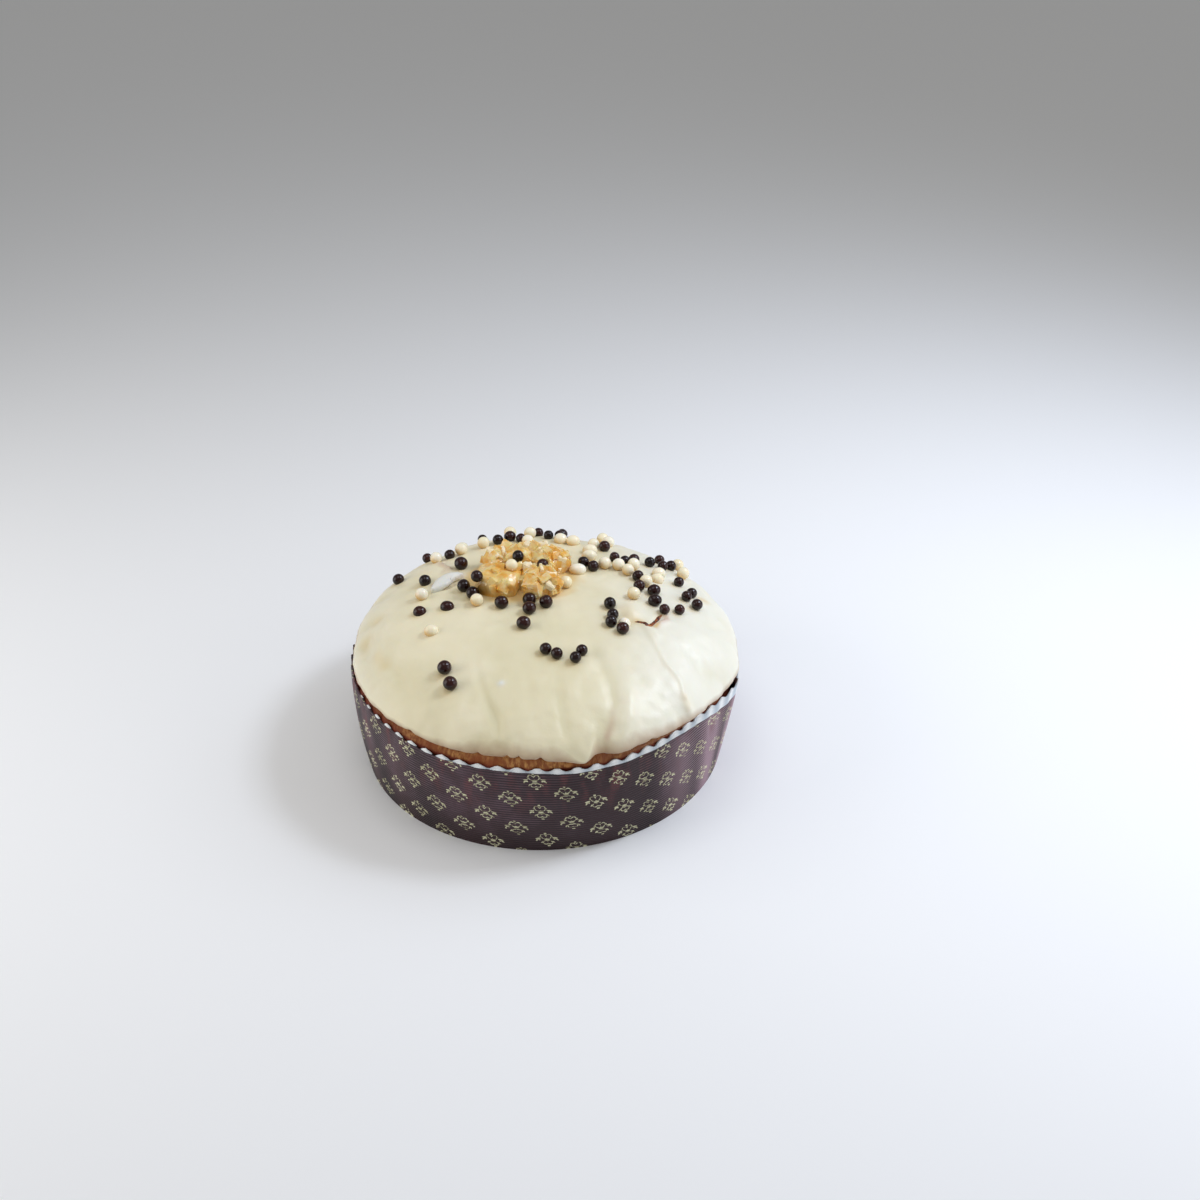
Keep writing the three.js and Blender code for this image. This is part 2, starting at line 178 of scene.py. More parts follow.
@dataclass(frozen=True)
class Trace:
    """A line seen from above: its (x, y, value) corners, and its half width in mm."""

    width: float
    line: tuple[Triple, ...]

    def over(self, points: Array) -> Array:
        """The line's value at places, fading with the distance from it.

        Args:
            points: The places, one to a row.

        Returns:
            One value to a place.
        """
        corners = np.array(self.line)
        nearest = np.full(len(points), np.inf)
        value = np.zeros(len(points))
        for start, end in zip(corners[:-1], corners[1:]):
            along = end[:2] - start[:2]
            offset = points[:, :2] - start[:2]
            share = np.clip(offset @ along / (along @ along), 0.0, 1.0)
            away = np.linalg.norm(offset - share[:, None] * along, axis=1)
            closer = away < nearest
            nearest = np.where(closer, away, nearest)
            value = np.where(closer, mix(start[2], end[2], share), value)
        return value * hump(nearest / self.width)


@dataclass(frozen=True)
class Bulge:
    """A change round the loaf, in degrees and mm."""

    bearing: float
    width: float
    height: float

    def over(self, bearing: Array) -> Array:
        """The change at bearings."""
        return self.height * hump(turn_between(self.bearing, bearing) / self.width)


@dataclass(frozen=True)
class CaseForm:
    """The form of the paper case. The rim is a little out of round and scalloped."""

    base_radius: float
    rims: Ring = (
        (-180, 99.85), (-160, 99.5), (-148, 99.4), (-137, 99.5), (-127, 100.4), (-119, 100.9),
        (-107, 100.5), (-97, 99.7), (-90, 99.8), (-80, 100.7), (-67, 99.4), (-57, 97.2),
        (-47, 96), (-37, 96.1), (-30.5, 98), (-25.4, 100.2), (-20.5, 102.6), (-15, 104.4),
        (-9, 103), (0, 101.8), (14, 102), (30, 101), (50, 98.5), (75, 96.6), (100, 97.6),
        (125, 99.6), (150, 99.6),
    )
    crest_height: float = 54.0
    crest_lean: float = 1.3
    swell: float = 1.5
    flat: Bulge = Bulge(-14, 25, -1.2)
    scallops: int = 67
    scallop_depth: float = 2.3
    first_crest: float = -89.6
    samples: int = 1440

    def wall(self, bearing: Array, height: Array) -> Array:
        """Outer radius of the wall, which swells slightly half way up.

        Args:
            bearing: Bearings in degrees.
            height: Heights in mm.

        Returns:
            The radii in mm.
        """
        share = height / self.crest_height
        swell = (self.swell + self.flat.over(bearing)) * 4 * share * (1 - share)
        return mix(self.base_radius, ring_value(self.rims, bearing), share) + swell

    def crest(self, bearing: Array) -> Array:
        """Height of the rim's crests, higher at the left than at the right."""
        return self.crest_height - self.crest_lean * np.cos(np.radians(bearing))

    def rim_top(self, bearing: Array, share: Array) -> Array:
        """Height of the scalloped edge at a share of the paper's length from the first crest."""
        wave = 0.5 - 0.5 * np.cos(2 * np.pi * self.scallops * share)
        return self.crest(bearing) - self.scallop_depth * wave

    def along_rim(self, share: Array) -> Array:
        """Finds places along the paper.

        Args:
            share: Shares of the paper's length, from the first crest.

        Returns:
            Their bearings.
        """
        bearings = self.first_crest + np.linspace(0.0, 360.0, self.samples + 1)
        rim = polar(bearings, ring_value(self.rims, bearings), 0.0)
        steps = np.linalg.norm(np.diff(rim, axis=0), axis=1)
        length = np.concatenate([[0.0], np.cumsum(steps)])
        return np.interp(share * length[-1], length, bearings)


@dataclass(frozen=True)
class Fold:
    """A soft fold down the coating from a share of the reach, in degrees and mm."""

    bearing: float
    width: float
    height: float
    top: float


@dataclass(frozen=True)
class Lump:
    """A lump or dent in the coating, in mm."""

    x: float
    y: float
    radius: float
    height: float


@dataclass(frozen=True)
class CrownForm:
    """The form of the coated dome, with the folds, lumps and dents in its coating."""

    case: CaseForm
    widest: float = 101.0
    shift: float = 1.0
    rear: float = -1.6
    changes: tuple[Bulge, ...] = (Bulge(-140, 30, -1.2), Bulge(-15, 8, 1.9), Bulge(100, 22, -0.2))
    rise: float = 31.0
    spring: float = 54.0
    shoulder: float = 2.63
    crown: float = 1.96
    lean: float = 0.03
    normal_step: float = 0.004
    fold_ease: float = 0.6
    lip_clearance: float = 0.9
    share_limit: float = 0.985
    lips: Ring = (
        (-180, 59.5), (-163, 57.4), (-150, 57.6), (-138, 57), (-130, 58), (-117, 57.8),
        (-106, 58.6), (-98, 59.2), (-91, 58.9), (-84, 57.6), (-77, 55.4), (-73.5, 58.8),
        (-66, 57.4), (-61, 58.4), (-44, 58), (-34, 58), (-26, 56.4), (0, 56), (30, 58),
        (62, 56.5), (95, 59), (128, 57), (155, 59.5),
    )
    folds: tuple[Fold, ...] = (
        Fold(-103, 4, -0.6, 0.72), Fold(-112, 5, 0.4, 0.7), Fold(-94, 5, 0.35, 0.62),
        Fold(-81, 6, -0.3, 0.55), Fold(-71, 3.5, -0.9, 0.72), Fold(-63, 5, 0.5, 0.55),
        Fold(-50, 6, -0.35, 0.6), Fold(-38, 4, 0.5, 0.68), Fold(-24, 4, -0.4, 0.7),
        Fold(-12, 5, 0.4, 0.66), Fold(22, 6, -0.6, 0.6), Fold(48, 5, 0.6, 0.62),
        Fold(76, 6, -0.5, 0.6), Fold(104, 5, 0.7, 0.6), Fold(131, 6, -0.6, 0.62),
        Fold(158, 5, 0.5, 0.64),
    )
    lumps: tuple[Lump, ...] = (
        Lump(-58, 34, 13, 1.8), Lump(-49, 27, 7, 1.6), Lump(-88, 26, 9, -1.3),
        Lump(-91, 2, 10, -1.2), Lump(-30, -30, 20, 0.8), Lump(14, -26, 16, -0.8),
        Lump(40, -42, 15, 0.8), Lump(44, -8, 9, 1.2), Lump(30, 8, 13, -0.8),
        Lump(66, -30, 14, 0.8), Lump(24, 62, 13, 1.2), Lump(60, 62, 12, -0.9),
        Lump(-30, 72, 13, 1.0),
    )
    # Finer relief: narrow runs at the foot of the coating, small lumps, hollows and creases
    runs: tuple[Fold, ...] = (
        Fold(-106.1, 1.4, -0.3, 0.93), Fold(-97.8, 1.3, -0.4, 0.92), Fold(-94.5, 1.1, -0.4, 0.9),
        Fold(-86.3, 1.4, -0.4, 0.92), Fold(-72.4, 1.3, -0.4, 0.86), Fold(-58.5, 1.6, -0.25, 0.84),
        Fold(-46.5, 1.4, -0.25, 0.86), Fold(-118.0, 2.0, -0.25, 0.8), Fold(-126.0, 2.2, 0.25, 0.78),
        Fold(-136.0, 2.0, -0.3, 0.84), Fold(-148.0, 2.4, 0.3, 0.8),
    )
    dents: tuple[Lump, ...] = (
        Lump(-85.3, -0.2, 5.5, -0.6), Lump(-90.2, -16.6, 6, -0.7), Lump(-80.5, -11, 4.5, 0.5),
        Lump(-81, -21, 4.5, 0.5), Lump(-17.2, -65.5, 2.4, 0.8), Lump(46.1, -11.5, 5.5, 1.4),
        Lump(43.5, -19.5, 4.5, -0.6), Lump(57.5, -26, 6, 0.4), Lump(-57, 44, 6, 0.9),
        Lump(-64, 48, 6, 0.6), Lump(22, -50, 9, 0.4), Lump(30, -62, 8, -0.3),
        Lump(-25, -72, 9, 0.3), Lump(-70, 30, 8, -0.9),
    )
    creases: tuple[Trace, ...] = (
        Trace(2.2, ((-32.3, -39.4, 0), (-27.3, -63.4, -0.3), (-23.3, -75.1, -0.7),
                    (-20.6, -81.4, -0.8), (-18.1, -86.2, -0.6), (-16.8, -95, -0.3))),
        Trace(4.0, ((-21.6, -20.6, 0), (-21.2, -44.2, -0.25), (-21, -58, 0))),
        Trace(3.0, ((-5, -56, 0), (-3.2, -70.9, -0.3), (-0.3, -86.3, -0.25), (1, -95, 0))),
        Trace(3.2, ((8, -46, 0), (11.1, -76.3, -0.45), (13.6, -88.1, -0.4), (15, -96, -0.1))),
        Trace(4.0, ((22, -58, 0), (22.8, -70, -0.35), (20, -84, 0))),
        Trace(4.0, ((17, 6.7, 0), (23.9, -27.1, -0.3), (26, -40.3, -0.35), (29.9, -52, -0.5),
                    (34.7, -62.8, -0.8), (36.5, -73.7, -0.9), (35.5, -83.3, -0.8),
                    (31.3, -93.2, -0.9))),
        Trace(4.0, ((41, -54, 0), (44, -68, 0.5), (43, -80, 0.6), (40.5, -87, 0.7),
                    (36.5, -93, 0.6))),
        Trace(3.0, ((62, -15, 0), (65, -21.4, -0.25), (71.2, -30.6, -0.4), (75.9, -37, -0.45),
                    (77.5, -44.4, -0.4), (76.6, -53.2, 0))),
        Trace(2.2, ((86, -34, 0), (85.8, -40.5, -0.25), (85.3, -51.9, -0.1))),
        Trace(3.2, ((-93, -4, 0), (-91.9, -12.3, -0.5), (-87.7, -26.8, -0.4), (-84, -34, 0))),
        Trace(3.0, ((-80, -28, 0), (-78, -33.2, -0.35), (-73.4, -42, -0.5), (-67.1, -53.5, -0.45),
                    (-64.3, -62.5, 0))),
        Trace(2.4, ((-83.4, -3, 0), (-82.2, -20.3, -0.35), (-75.4, -24, 0))),
        Trace(1.2, ((50.5, -18, 0.1), (52.4, -22.3, 0.3), (61.8, -46.2, 0.35), (66.6, -51, 0.35),
                    (69.4, -56.3, 0.4), (70.2, -62.1, 0.5))),
        Trace(2.4, ((70.9, -63, 0.6), (71.9, -65.6, 1.1))),
        Trace(1.8, ((45.6, -23.5, 0), (49.1, -20.7, 0.5), (54.4, -21.7, 0.6), (57.3, -27.1, 0.4),
                    (58.3, -33.8, 0))),
        Trace(1.3, ((61.1, -8.5, -0.3), (57.7, -15.4, -0.9), (54.6, -21, -0.4))),
        Trace(1.5, ((63, -8.5, 0.2), (63.8, -13.2, 0.7), (60.2, -16.6, 0.7), (57.6, -20.8, 0.3))),
        Trace(3.0, ((-56.5, 16.4, 0.3), (-52.7, 19.3, 0.6), (-47, 25.2, 0.6), (-44, 25.8, 0.3))),
        Trace(1.3, ((-56, 12.8, -0.2), (-50.6, 15.2, -0.8), (-46, 19.4, -0.9), (-41, 23, -0.4))),
        Trace(1.4, ((-58.3, 47.4, 0.3), (-54.8, 40.4, 0.8), (-50.7, 35.3, 0.8), (-52.8, 30, 0.3))),
    )
    crease_strength: float = 1.7
    deepest: float = -1.7
    softness: float = 0.25
    wave_size: float = 26.0
    wave_height: float = 0.6
    ripple_size: float = 10.0
    ripple_height: float = 0.45
    streak_size: float = 7.0
    streak_height: float = 0.12
    streak_flat: Triple = (1.0, 1.0, 0.25)
    streak_band: Pair = (0.62, 0.95)
    lip_wander: float = 0.35
    lip_wander_size: float = 5.0
    notches: tuple[Bulge, ...] = (
        Bulge(-106.1, 0.7, 0.9), Bulge(-97.8, 0.6, 0.9), Bulge(-94.5, 0.6, 1.0),
        Bulge(-88.6, 0.8, 1.4), Bulge(-128.0, 1.4, 0.8), Bulge(-141.0, 1.8, 0.4),
        Bulge(-57.0, 1.0, 0.7), Bulge(-35.0, 1.2, 0.8),
    )

    def reach(self, bearing: Array) -> Array:
        """Finds how far the dome reaches from the axis at its widest.

        Args:
            bearing: Bearings in degrees.

        Returns:
            The reaches in mm.
        """
        turn = np.radians(bearing)
        rear = self.rear * np.sin(2 * turn) * np.maximum(0.0, np.sin(turn))
        changes = sum(change.over(bearing) for change in self.changes)
        return self.widest + self.shift * np.cos(turn) + rear + changes

    def skin(self, bearing: Array, share: Array, inset: float = 0.0) -> Array:
        """Puts points on the plain dome.

        Args:
            bearing: Bearings in degrees.
            share: Shares of the reach.
            inset: How far the surface is moved in.

        Returns:
            The points, one to a row.
        """
        lean = 1 + self.lean * share * np.sin(np.radians(bearing))
        arch = np.maximum(0.0, 1 - share**self.shoulder) ** (1 / self.crown)
        height = self.spring + (self.rise - inset) * arch * lean
        return polar(bearing, (self.reach(bearing) - inset) * share, height)

    def outward(self, bearing: Array, share: Array) -> Array:
        """Finds the way out of the dome.

        Args:
            bearing: Bearings in degrees.
            share: Shares of the reach.

        Returns:
            One unit vector to a row.
        """
        low = self.skin(bearing, np.minimum(1.0, share + self.normal_step))
        high = self.skin(bearing, np.maximum(0.0, share - self.normal_step))
        run = np.hypot(low[..., 0] - high[..., 0], low[..., 1] - high[..., 1])
        slope = (high[..., 2] - low[..., 2]) / np.maximum(run, 1e-6)
        slope = np.where(share < self.normal_step, 0.0, slope)
        way = polar(bearing, slope, 1.0)
        return way / np.linalg.norm(way, axis=-1, keepdims=True)

    def share_at(self, height: Array) -> Array:
        """The share of the reach at which the dome stands at a height."""
        up = np.maximum(0.0, height - self.spring) / self.rise
        return (1 - up**self.crown) ** (1 / self.shoulder)

    def main_relief(self, bearing: Array, share: Array) -> Array:
        """Folds, lumps and dents that the solid has too, in mm."""
        return self._folded(self.folds, bearing, share) + self._lumped(self.lumps, bearing, share)

    def relief(self, bearing: Array, share: Array) -> Array:
        """All the coating's relief, the finer one included.

        Args:
            bearing: Bearings in degrees.
            share: Shares of the reach.

        Returns:
            The relief in mm.
        """
        points = self.skin(bearing, share)
        streaks = unevenness(points * np.array(self.streak_flat), self.streak_size, 2, 3.0)
        streaks = streaks * smooth(share, *self.streak_band) * self.streak_height
        waves = unevenness(points, self.wave_size, 2, 1.0) * self.wave_height
        ripples = unevenness(points, self.ripple_size, 2, 2.0) * self.ripple_height
        fine = self._folded(self.runs, bearing, share) + self._lumped(self.dents, bearing, share)
        creases = sum(crease.over(points) for crease in self.creases) * self.crease_strength
        even = waves + ripples + streaks
        total = self.main_relief(bearing, share) + fine + creases + even
        above = np.logaddexp(0, (total - self.deepest) / self.softness)
        return self.deepest + self.softness * above

    def coated(self, bearing: Array, share: Array, out: float = 0.0) -> Array:
        """Puts points on the coating's outer face.

        Args:
            bearing: Bearings in degrees.
            share: Shares of the reach.
            out: How far they are moved out of it.

        Returns:
            The points, one to a row.
        """
        lift = self.relief(bearing, share) + out
        return self.skin(bearing, share) + self.outward(bearing, share) * lift[..., None]

    def spot(self, x: float, y: float) -> tuple[Array, Array]:
        """The bearing and the share of the reach of a place seen from above."""
        bearing = np.degrees(np.arctan2([y], [x]))
        return bearing, np.minimum(self.share_limit, np.hypot([x], [y]) / self.reach(bearing))

    def over(self, x: float, y: float, out: float = 0.0) -> Vector:
        """Finds the point of the coating at a place seen from above.

        Args:
            x: The place along X in mm.
            y: The place along Y in mm.
            out: How far the point is moved out of the coating.

        Returns:
            The point.
        """
        return Vector(self.coated(*self.spot(x, y), out)[0])

    def up_from(self, x: float, y: float) -> Vector:
        """Finds the way out of the coating at a place seen from above.

        Args:
            x: The place along X in mm.
            y: The place along Y in mm.

        Returns:
            A unit vector.
        """
        return Vector(self.outward(*self.spot(x, y))[0])

    def lip(self, bearing: Array) -> Array:
        """Finds the height of the coating's lower edge, kept clear of the rim.

        Args:
            bearing: Bearings in degrees.

        Returns:
            Heights in mm.
        """
        around = polar(bearing, self.widest, 0.0)
        wander = unevenness(around, self.lip_wander_size, 2, 4.0) * self.lip_wander
        low = ring_value(self.lips, bearing) + wander
        low = low + sum(notch.over(bearing) for notch in self.notches)
        return np.maximum(low, self.case.crest(bearing) + self.lip_clearance)

    def _folded(self, folds: tuple[Fold, ...], bearing: Array, share: Array) -> Array:
        """Adds up folds.

        Args:
            folds: The folds.
            bearing: Bearings in degrees.
            share: Shares of the reach.

        Returns:
            Their relief in mm.
        """
        total = np.zeros_like(share)
        for f in folds:
            down = smooth(share, f.top, mix(f.top, 1.0, self.fold_ease))
            total = total + f.height * hump(turn_between(f.bearing, bearing) / f.width) * down
        return total

    def _lumped(self, lumps: tuple[Lump, ...], bearing: Array, share: Array) -> Array:
        """Adds up lumps and dents.

        Args:
            lumps: The lumps.
            bearing: Bearings in degrees.
            share: Shares of the reach.

        Returns:
            Their relief in mm.
        """
        place = polar(bearing, self.reach(bearing) * share, 0.0)
        total = np.zeros_like(share)
        for lump in lumps:
            away = np.hypot(place[..., 0] - lump.x, place[..., 1] - lump.y)
            total = total + lump.height * hump(math.sqrt(2.0) * away / lump.radius)
        return total


# Meshes


def corners_of(mesh: Mesh) -> Array:
    """Reads the mesh's corners.

    Args:
        mesh: The mesh.

    Returns:
        Its corners, one to a row.
    """
    flat = np.empty(len(mesh.vertices) * 3)
    mesh.vertices.foreach_get("co", flat)
    return flat.reshape(-1, 3)


def move_corners(mesh: Mesh, corners: Array) -> None:
    """Puts the mesh's corners where the rows say."""
    mesh.vertices.foreach_set("co", np.ascontiguousarray(corners, dtype=np.float64).ravel())
    mesh.update()


def mark(mesh: Mesh, name: str, values: Array) -> None:
    """Stores one number to a corner under a name that a finish can read."""
    layer = mesh.attributes.new(name, "FLOAT", "POINT")
    layer.data.foreach_set("value", np.ascontiguousarray(values, dtype=np.float32))


def finished(bm: bmesh.types.BMesh, name: str) -> Mesh:
    """Writes a bmesh to a new mesh and frees it.

    Args:
        bm: The bmesh.
        name: The mesh's name.

    Returns:
        The mesh.
    """
    mesh = bpy.data.meshes.new(name)
    bm.to_mesh(mesh)
    bm.free()
    return mesh


def weld(mesh: Mesh, distance: float = 0.002) -> None:
    """Merges corners that meet and turns the faces outwards.

    Args:
        mesh: The mesh.
        distance: How near corners are merged, in mm.
    """
    bm = bmesh.new()
    bm.from_mesh(mesh)
    bmesh.ops.remove_doubles(bm, verts=bm.verts, dist=distance)
    bmesh.ops.dissolve_degenerate(bm, edges=bm.edges, dist=distance / 10)
    bmesh.ops.recalc_face_normals(bm, faces=bm.faces)
    bm.to_mesh(mesh)
    bm.free()


def flat_grid(around: int, rows: int) -> tuple[Mesh, Array, Array]:
    """A sheet of small faces, ready to be put in place.

    Args:
        around: Faces along the sheet.
        rows: Faces across it.

    Returns:
        The mesh, and each corner's share along and across the sheet.
    """
    bm = bmesh.new()
    bmesh.ops.create_grid(bm, x_segments=around, y_segments=rows, size=0.5)
    mesh = finished(bm, "sheet")
    corners = corners_of(mesh)
    return mesh, corners[:, 0] + 0.5, corners[:, 1] + 0.5


# Finishes


def linear(hex_colour: str) -> tuple[float, float, float, float]:
    """Turns an sRGB hex colour into linear light with a full alpha.

    Args:
        hex_colour: The colour, written as in a web page.

    Returns:
        Its red, green, blue and alpha.
    """
    parts = [int(hex_colour[i : i + 2], 16) / 255 for i in (1, 3, 5)]
    light = [p / 12.92 if p <= 0.04045 else ((p + 0.055) / 1.055) ** 2.4 for p in parts]
    return (light[0], light[1], light[2], 1.0)


def wire(tree: Tree, node: Node, inputs: dict) -> None:
    """Sets or links a node's inputs.

    Args:
        tree: The material's node tree.
        node: The node.
        inputs: Socket name or number to a value, or to the socket or node that feeds it. A node
            feeds it from the first output that is in use.
    """
    for key, value in inputs.items():
        if isinstance(value, Node):
            value = next(socket for socket in value.outputs if socket.enabled)
        if isinstance(value, bpy.types.NodeSocket):
            tree.links.new(value, node.inputs[key])
        else:
            node.inputs[key].default_value = value


def add_node(tree: Tree, kind: str, inputs: dict | None = None, **settings: object) -> Node:
    """Adds a node with its settings and links.

    Args:
        tree: The material's node tree.
        kind: The node's type, without ShaderNode before it.
        inputs: What its inputs are set or linked to.
        **settings: Other properties of the node.

    Returns:
        The new node.
    """
    node = tree.nodes.new(f"ShaderNode{kind}")
    for key, value in settings.items():
        setattr(node, key, value)
    wire(tree, node, inputs or {})
    return node


@dataclass(frozen=True)
class Layer:
    """A tint whose strength eases from nothing at one value to the most at another."""

    value: Node | bpy.types.NodeSocket
    none_at: float
    most_at: float
    colour: str
    most: float = 1.0


@dataclass(frozen=True)
class Finish:
    """What all finishes share: the middle of the case's base, in metres."""

    centre: Vector

    def start(self, name: str) -> tuple[bpy.types.Material, Tree, Node]:
        """Makes a material with its shader.

        Args:
            name: The material's name.

        Returns:
            The material, its node tree and its shader.
        """
        material = bpy.data.materials.new(name)
        material.use_nodes = True
        tree = material.node_tree
        return material, tree, tree.nodes["Principled BSDF"]

    def place(self, tree: Tree) -> Node:
        """Gives the surface's place in mm about the middle of the base.

        Args:
            tree: The material's node tree.

        Returns:
            The node that gives it.
        """
        inputs = {
            "Vector": add_node(tree, "TexCoord").outputs["Object"],
            "Location": tuple(-c / MM for c in self.centre),
            "Scale": (1 / MM, 1 / MM, 1 / MM),
        }
        return add_node(tree, "Mapping", inputs)

    def layered(self, tree: Tree, colour: Node | tuple[float, ...], *layers: Layer) -> Node:
        """Lays tints over a colour, one after the other.

        Args:
            tree: The material's node tree.
            colour: The colour under them, or the node that gives it.
            *layers: The tints.

        Returns:
            The node that gives the tinted colour.
        """
        for layer in layers:
            inputs = {"Value": layer.value, "From Min": layer.none_at, "From Max": layer.most_at}
            share = add_node(tree, "MapRange", {**inputs, "To Max": layer.most}, **EASED)
            inputs = {0: share, 6: colour, 7: linear(layer.colour)}
            colour = add_node(tree, "Mix", inputs, **COLOURS)
        return colour


@dataclass(frozen=True)
class Stroke:
    """One mark of the paper's print, in mm from the sprig's middle: a dab, or a loop's line."""

    x: float
    y: float
    long: float
    wide: float
    turn: float = 0.0
    line: float = 0.0


@dataclass(frozen=True)
class PrintedPaper(Finish):
    """Micro-corrugated baking paper, flexo printed in brown with small cream sprigs.

    The ribs catch the light as thin lines. The print stops short of the rim, which leaves a
    white margin whose border drops towards the right.
    """

    first_sprig: Pair = (-154.47, 46.35)
    down_left: Pair = (-12.04, -11.20)
    down_right: Pair = (14.47, -8.07)
    slant: float = 0.2
    edge: float = 0.1
    strokes: tuple[Stroke, ...] = (
        Stroke(0.1, 4.5, 0.5, 0.5),
        Stroke(0.3, -4.4, 0.45, 0.45),
        Stroke(0.0, 0.0, 1.3, 0.4),
        Stroke(1.15, 2.3, 1.75, 1.2, 55, 0.18),
        Stroke(0.95, -2.05, 1.35, 1.1, -20, 0.18),
        Stroke(4.15, 1.2, 1.3, 0.35, -8),
        Stroke(3.7, 0.35, 0.6, 0.4, 30),
        Stroke(4.7, 0.2, 0.65, 0.4, -40),
        Stroke(5.2, -0.55, 0.4, 0.35),
        Stroke(2.9, -1.9, 0.85, 0.3, -48),
        Stroke(2.95, 2.24, 0.5, 0.2, 55),
    )

    def material(self) -> bpy.types.Material:
        """Makes the printed paper.

        Returns:
            The material.
        """
        material, tree, shader = self.start("printed_corrugated_paper")
        place = self.place(tree)
        inputs = {0: add_node(tree, "UVMap", uv_map="print"), "Scale": SHEET_UNIT}
        sheet = add_node(tree, "VectorMath", inputs, operation="SCALE")
        height = add_node(tree, "SeparateXYZ", {0: sheet}).outputs[1]

        # 0 on a rib and 1 between two
        inputs = {0: height, 1: 2 * math.pi / RIB_PITCH}
        turns = add_node(tree, "Math", inputs, operation="MULTIPLY")
        wave = add_node(tree, "Math", {0: turns}, operation="COSINE")
        inputs = {"Value": wave, "From Min": 0.5, "From Max": -0.8}
        between = add_node(tree, "MapRange", inputs)

        # Purple brown ink, mottled, darker at the right in front, darker towards the foot as painted
        # shade, lighter at the far right as a painted sheen, with reddish streaks where it is thin
        mottled = add_node(tree, "TexNoise", {"Vector": place, "Scale": 1 / 9.0, "Detail": 3.0})
        ground = self.layered(tree, linear("#50383f"), Layer(mottled, 0.35, 0.7, "#634b55"))
        # Darker at the right in front, and towards the foot as painted shade
        inputs = {0: self._darker_front_and_shaded_foot(tree, place), 6: ground, 7: linear("#2f1418")}
        ground = add_node(tree, "Mix", inputs, **COLOURS)
        # Lighter towards the far right: a painted sheen
        across = add_node(tree, "SeparateXYZ", {0: place})
        ground = self.layered(tree, ground, Layer(across, 54.0, 92.0, "#b0929c", 0.9))
        inputs = {0: self._streaks(tree, sheet), 6: ground, 7: linear("#7e4446")}
        ground = add_node(tree, "Mix", inputs, **COLOURS)
        # Darker between the ribs, here on the ground and below on the cream: painted shade
        deep = add_node(tree, "Math", {0: between, 1: 0.85}, operation="MULTIPLY")
        ground = add_node(tree, "Mix", {0: deep, 6: ground, 7: linear("#170c11")}, **COLOURS)

        # Cream sprigs, a little rubbed
        rub_and_contact_shade = add_node(tree, "TexNoise", {"Vector": place, "Scale": 1 / 0.9})
        inputs = {"Value": rub_and_contact_shade, "From Min": 0.25, "From Max": 0.42}
        rub_and_contact_shade = add_node(tree, "MapRange", inputs, **EASED)
        inputs = {0: self._sprigs(tree, sheet), 1: rub_and_contact_shade}
        ink = add_node(tree, "Math", inputs, operation="MULTIPLY")
        # The cream is darker between the ribs too: painted shade
        inputs = {0: deep, 6: linear("#e0ddb8"), 7: linear("#9c976f")}
        cream = add_node(tree, "Mix", inputs, **COLOURS)
        inked = add_node(tree, "Mix", {0: ink, 6: ground, 7: cream}, **COLOURS)

        # The border of the print: a dark line, then the white margin
        above = add_node(tree, "Attribute", attribute_name="above_print").outputs["Fac"]
        inked = self.layered(tree, inked, Layer(above, -0.8, -0.1, "#2b1b20", 0.75))
        inputs = {"Value": above, "From Min": -0.12, "From Max": 0.12}
        margin = add_node(tree, "MapRange", inputs, **EASED)
        # The white margin greys towards the valleys of the flutes: painted shade
        valley = add_node(tree, "Attribute", attribute_name="valley").outputs["Fac"]
        inputs = {0: valley, 6: linear("#f6f8f7"), 7: linear("#bfcad2")}
        white = add_node(tree, "Mix", inputs, **COLOURS)
        colour = add_node(tree, "Mix", {0: margin, 6: inked, 7: white}, **COLOURS)

        fibre = add_node(tree, "TexNoise", {"Vector": place, "Scale": 2.0, "Detail": 4.0})
        bump = add_node(tree, "Bump", {"Height": fibre, "Distance": 0.05 * MM})
        wire(tree, shader, {"Base Color": colour, "Normal": bump})
        wire(tree, shader, {"Roughness": 0.42, "Specular IOR Level": 0.4})
        return material

    def _darker_front_and_shaded_foot(self, tree: Tree, place: Node) -> Node:
        """Finds where the ground is darker: towards the foot, where it is painted shade, and at the
        right in front.

        Args:
            tree: The material's node tree.
            place: The place in mm.

        Returns:
            How dark it is.
        """
        axes = add_node(tree, "SeparateXYZ", {0: place})
        inputs = {"Value": axes, "From Min": -25.0, "From Max": 30.0, "To Max": 0.8}
        right = add_node(tree, "MapRange", inputs, **EASED)
        inputs = {"Value": axes, "From Min": 72.0, "From Max": 46.0}
        front = add_node(tree, "MapRange", inputs, **EASED)
        side = add_node(tree, "Math", {0: right, 1: front}, operation="MULTIPLY")
        inputs = {"Value": axes.outputs[2], "From Min": 30.0, "From Max": 2.0, "To Max": 0.85}
        low = add_node(tree, "MapRange", inputs, **EASED)
        return add_node(tree, "Math", {0: side, 1: low}, operation="MAXIMUM")

    def _streaks(self, tree: Tree, sheet: Node) -> Node:
        """Lays reddish bands under the rim, in slanted streaks.

        Args:
            tree: The material's node tree.
            sheet: The place on the printed sheet, in mm.

        Returns:
            How strong they are.
        """
        inputs = {"Vector": sheet, "Rotation": (0, 0, math.radians(58)), "Scale": (1.0, 0.4, 1.0)}
        slanted = add_node(tree, "Mapping", inputs)
        bands = add_node(tree, "TexNoise", {"Vector": slanted, "Scale": 1 / 7.0})
        inputs = {"Value": bands, "From Min": 0.46, "From Max": 0.74}
        bands = add_node(tree, "MapRange", inputs, **EASED)
        height = add_node(tree, "SeparateXYZ", {0: sheet}).outputs[1]
        inputs = {"Value": height, "From Min": 18.0, "From Max": 46.0, "To Max": 0.7}
        high = add_node(tree, "MapRange", inputs, **EASED)
        return add_node(tree, "Math", {0: bands, 1: high}, operation="MULTIPLY")

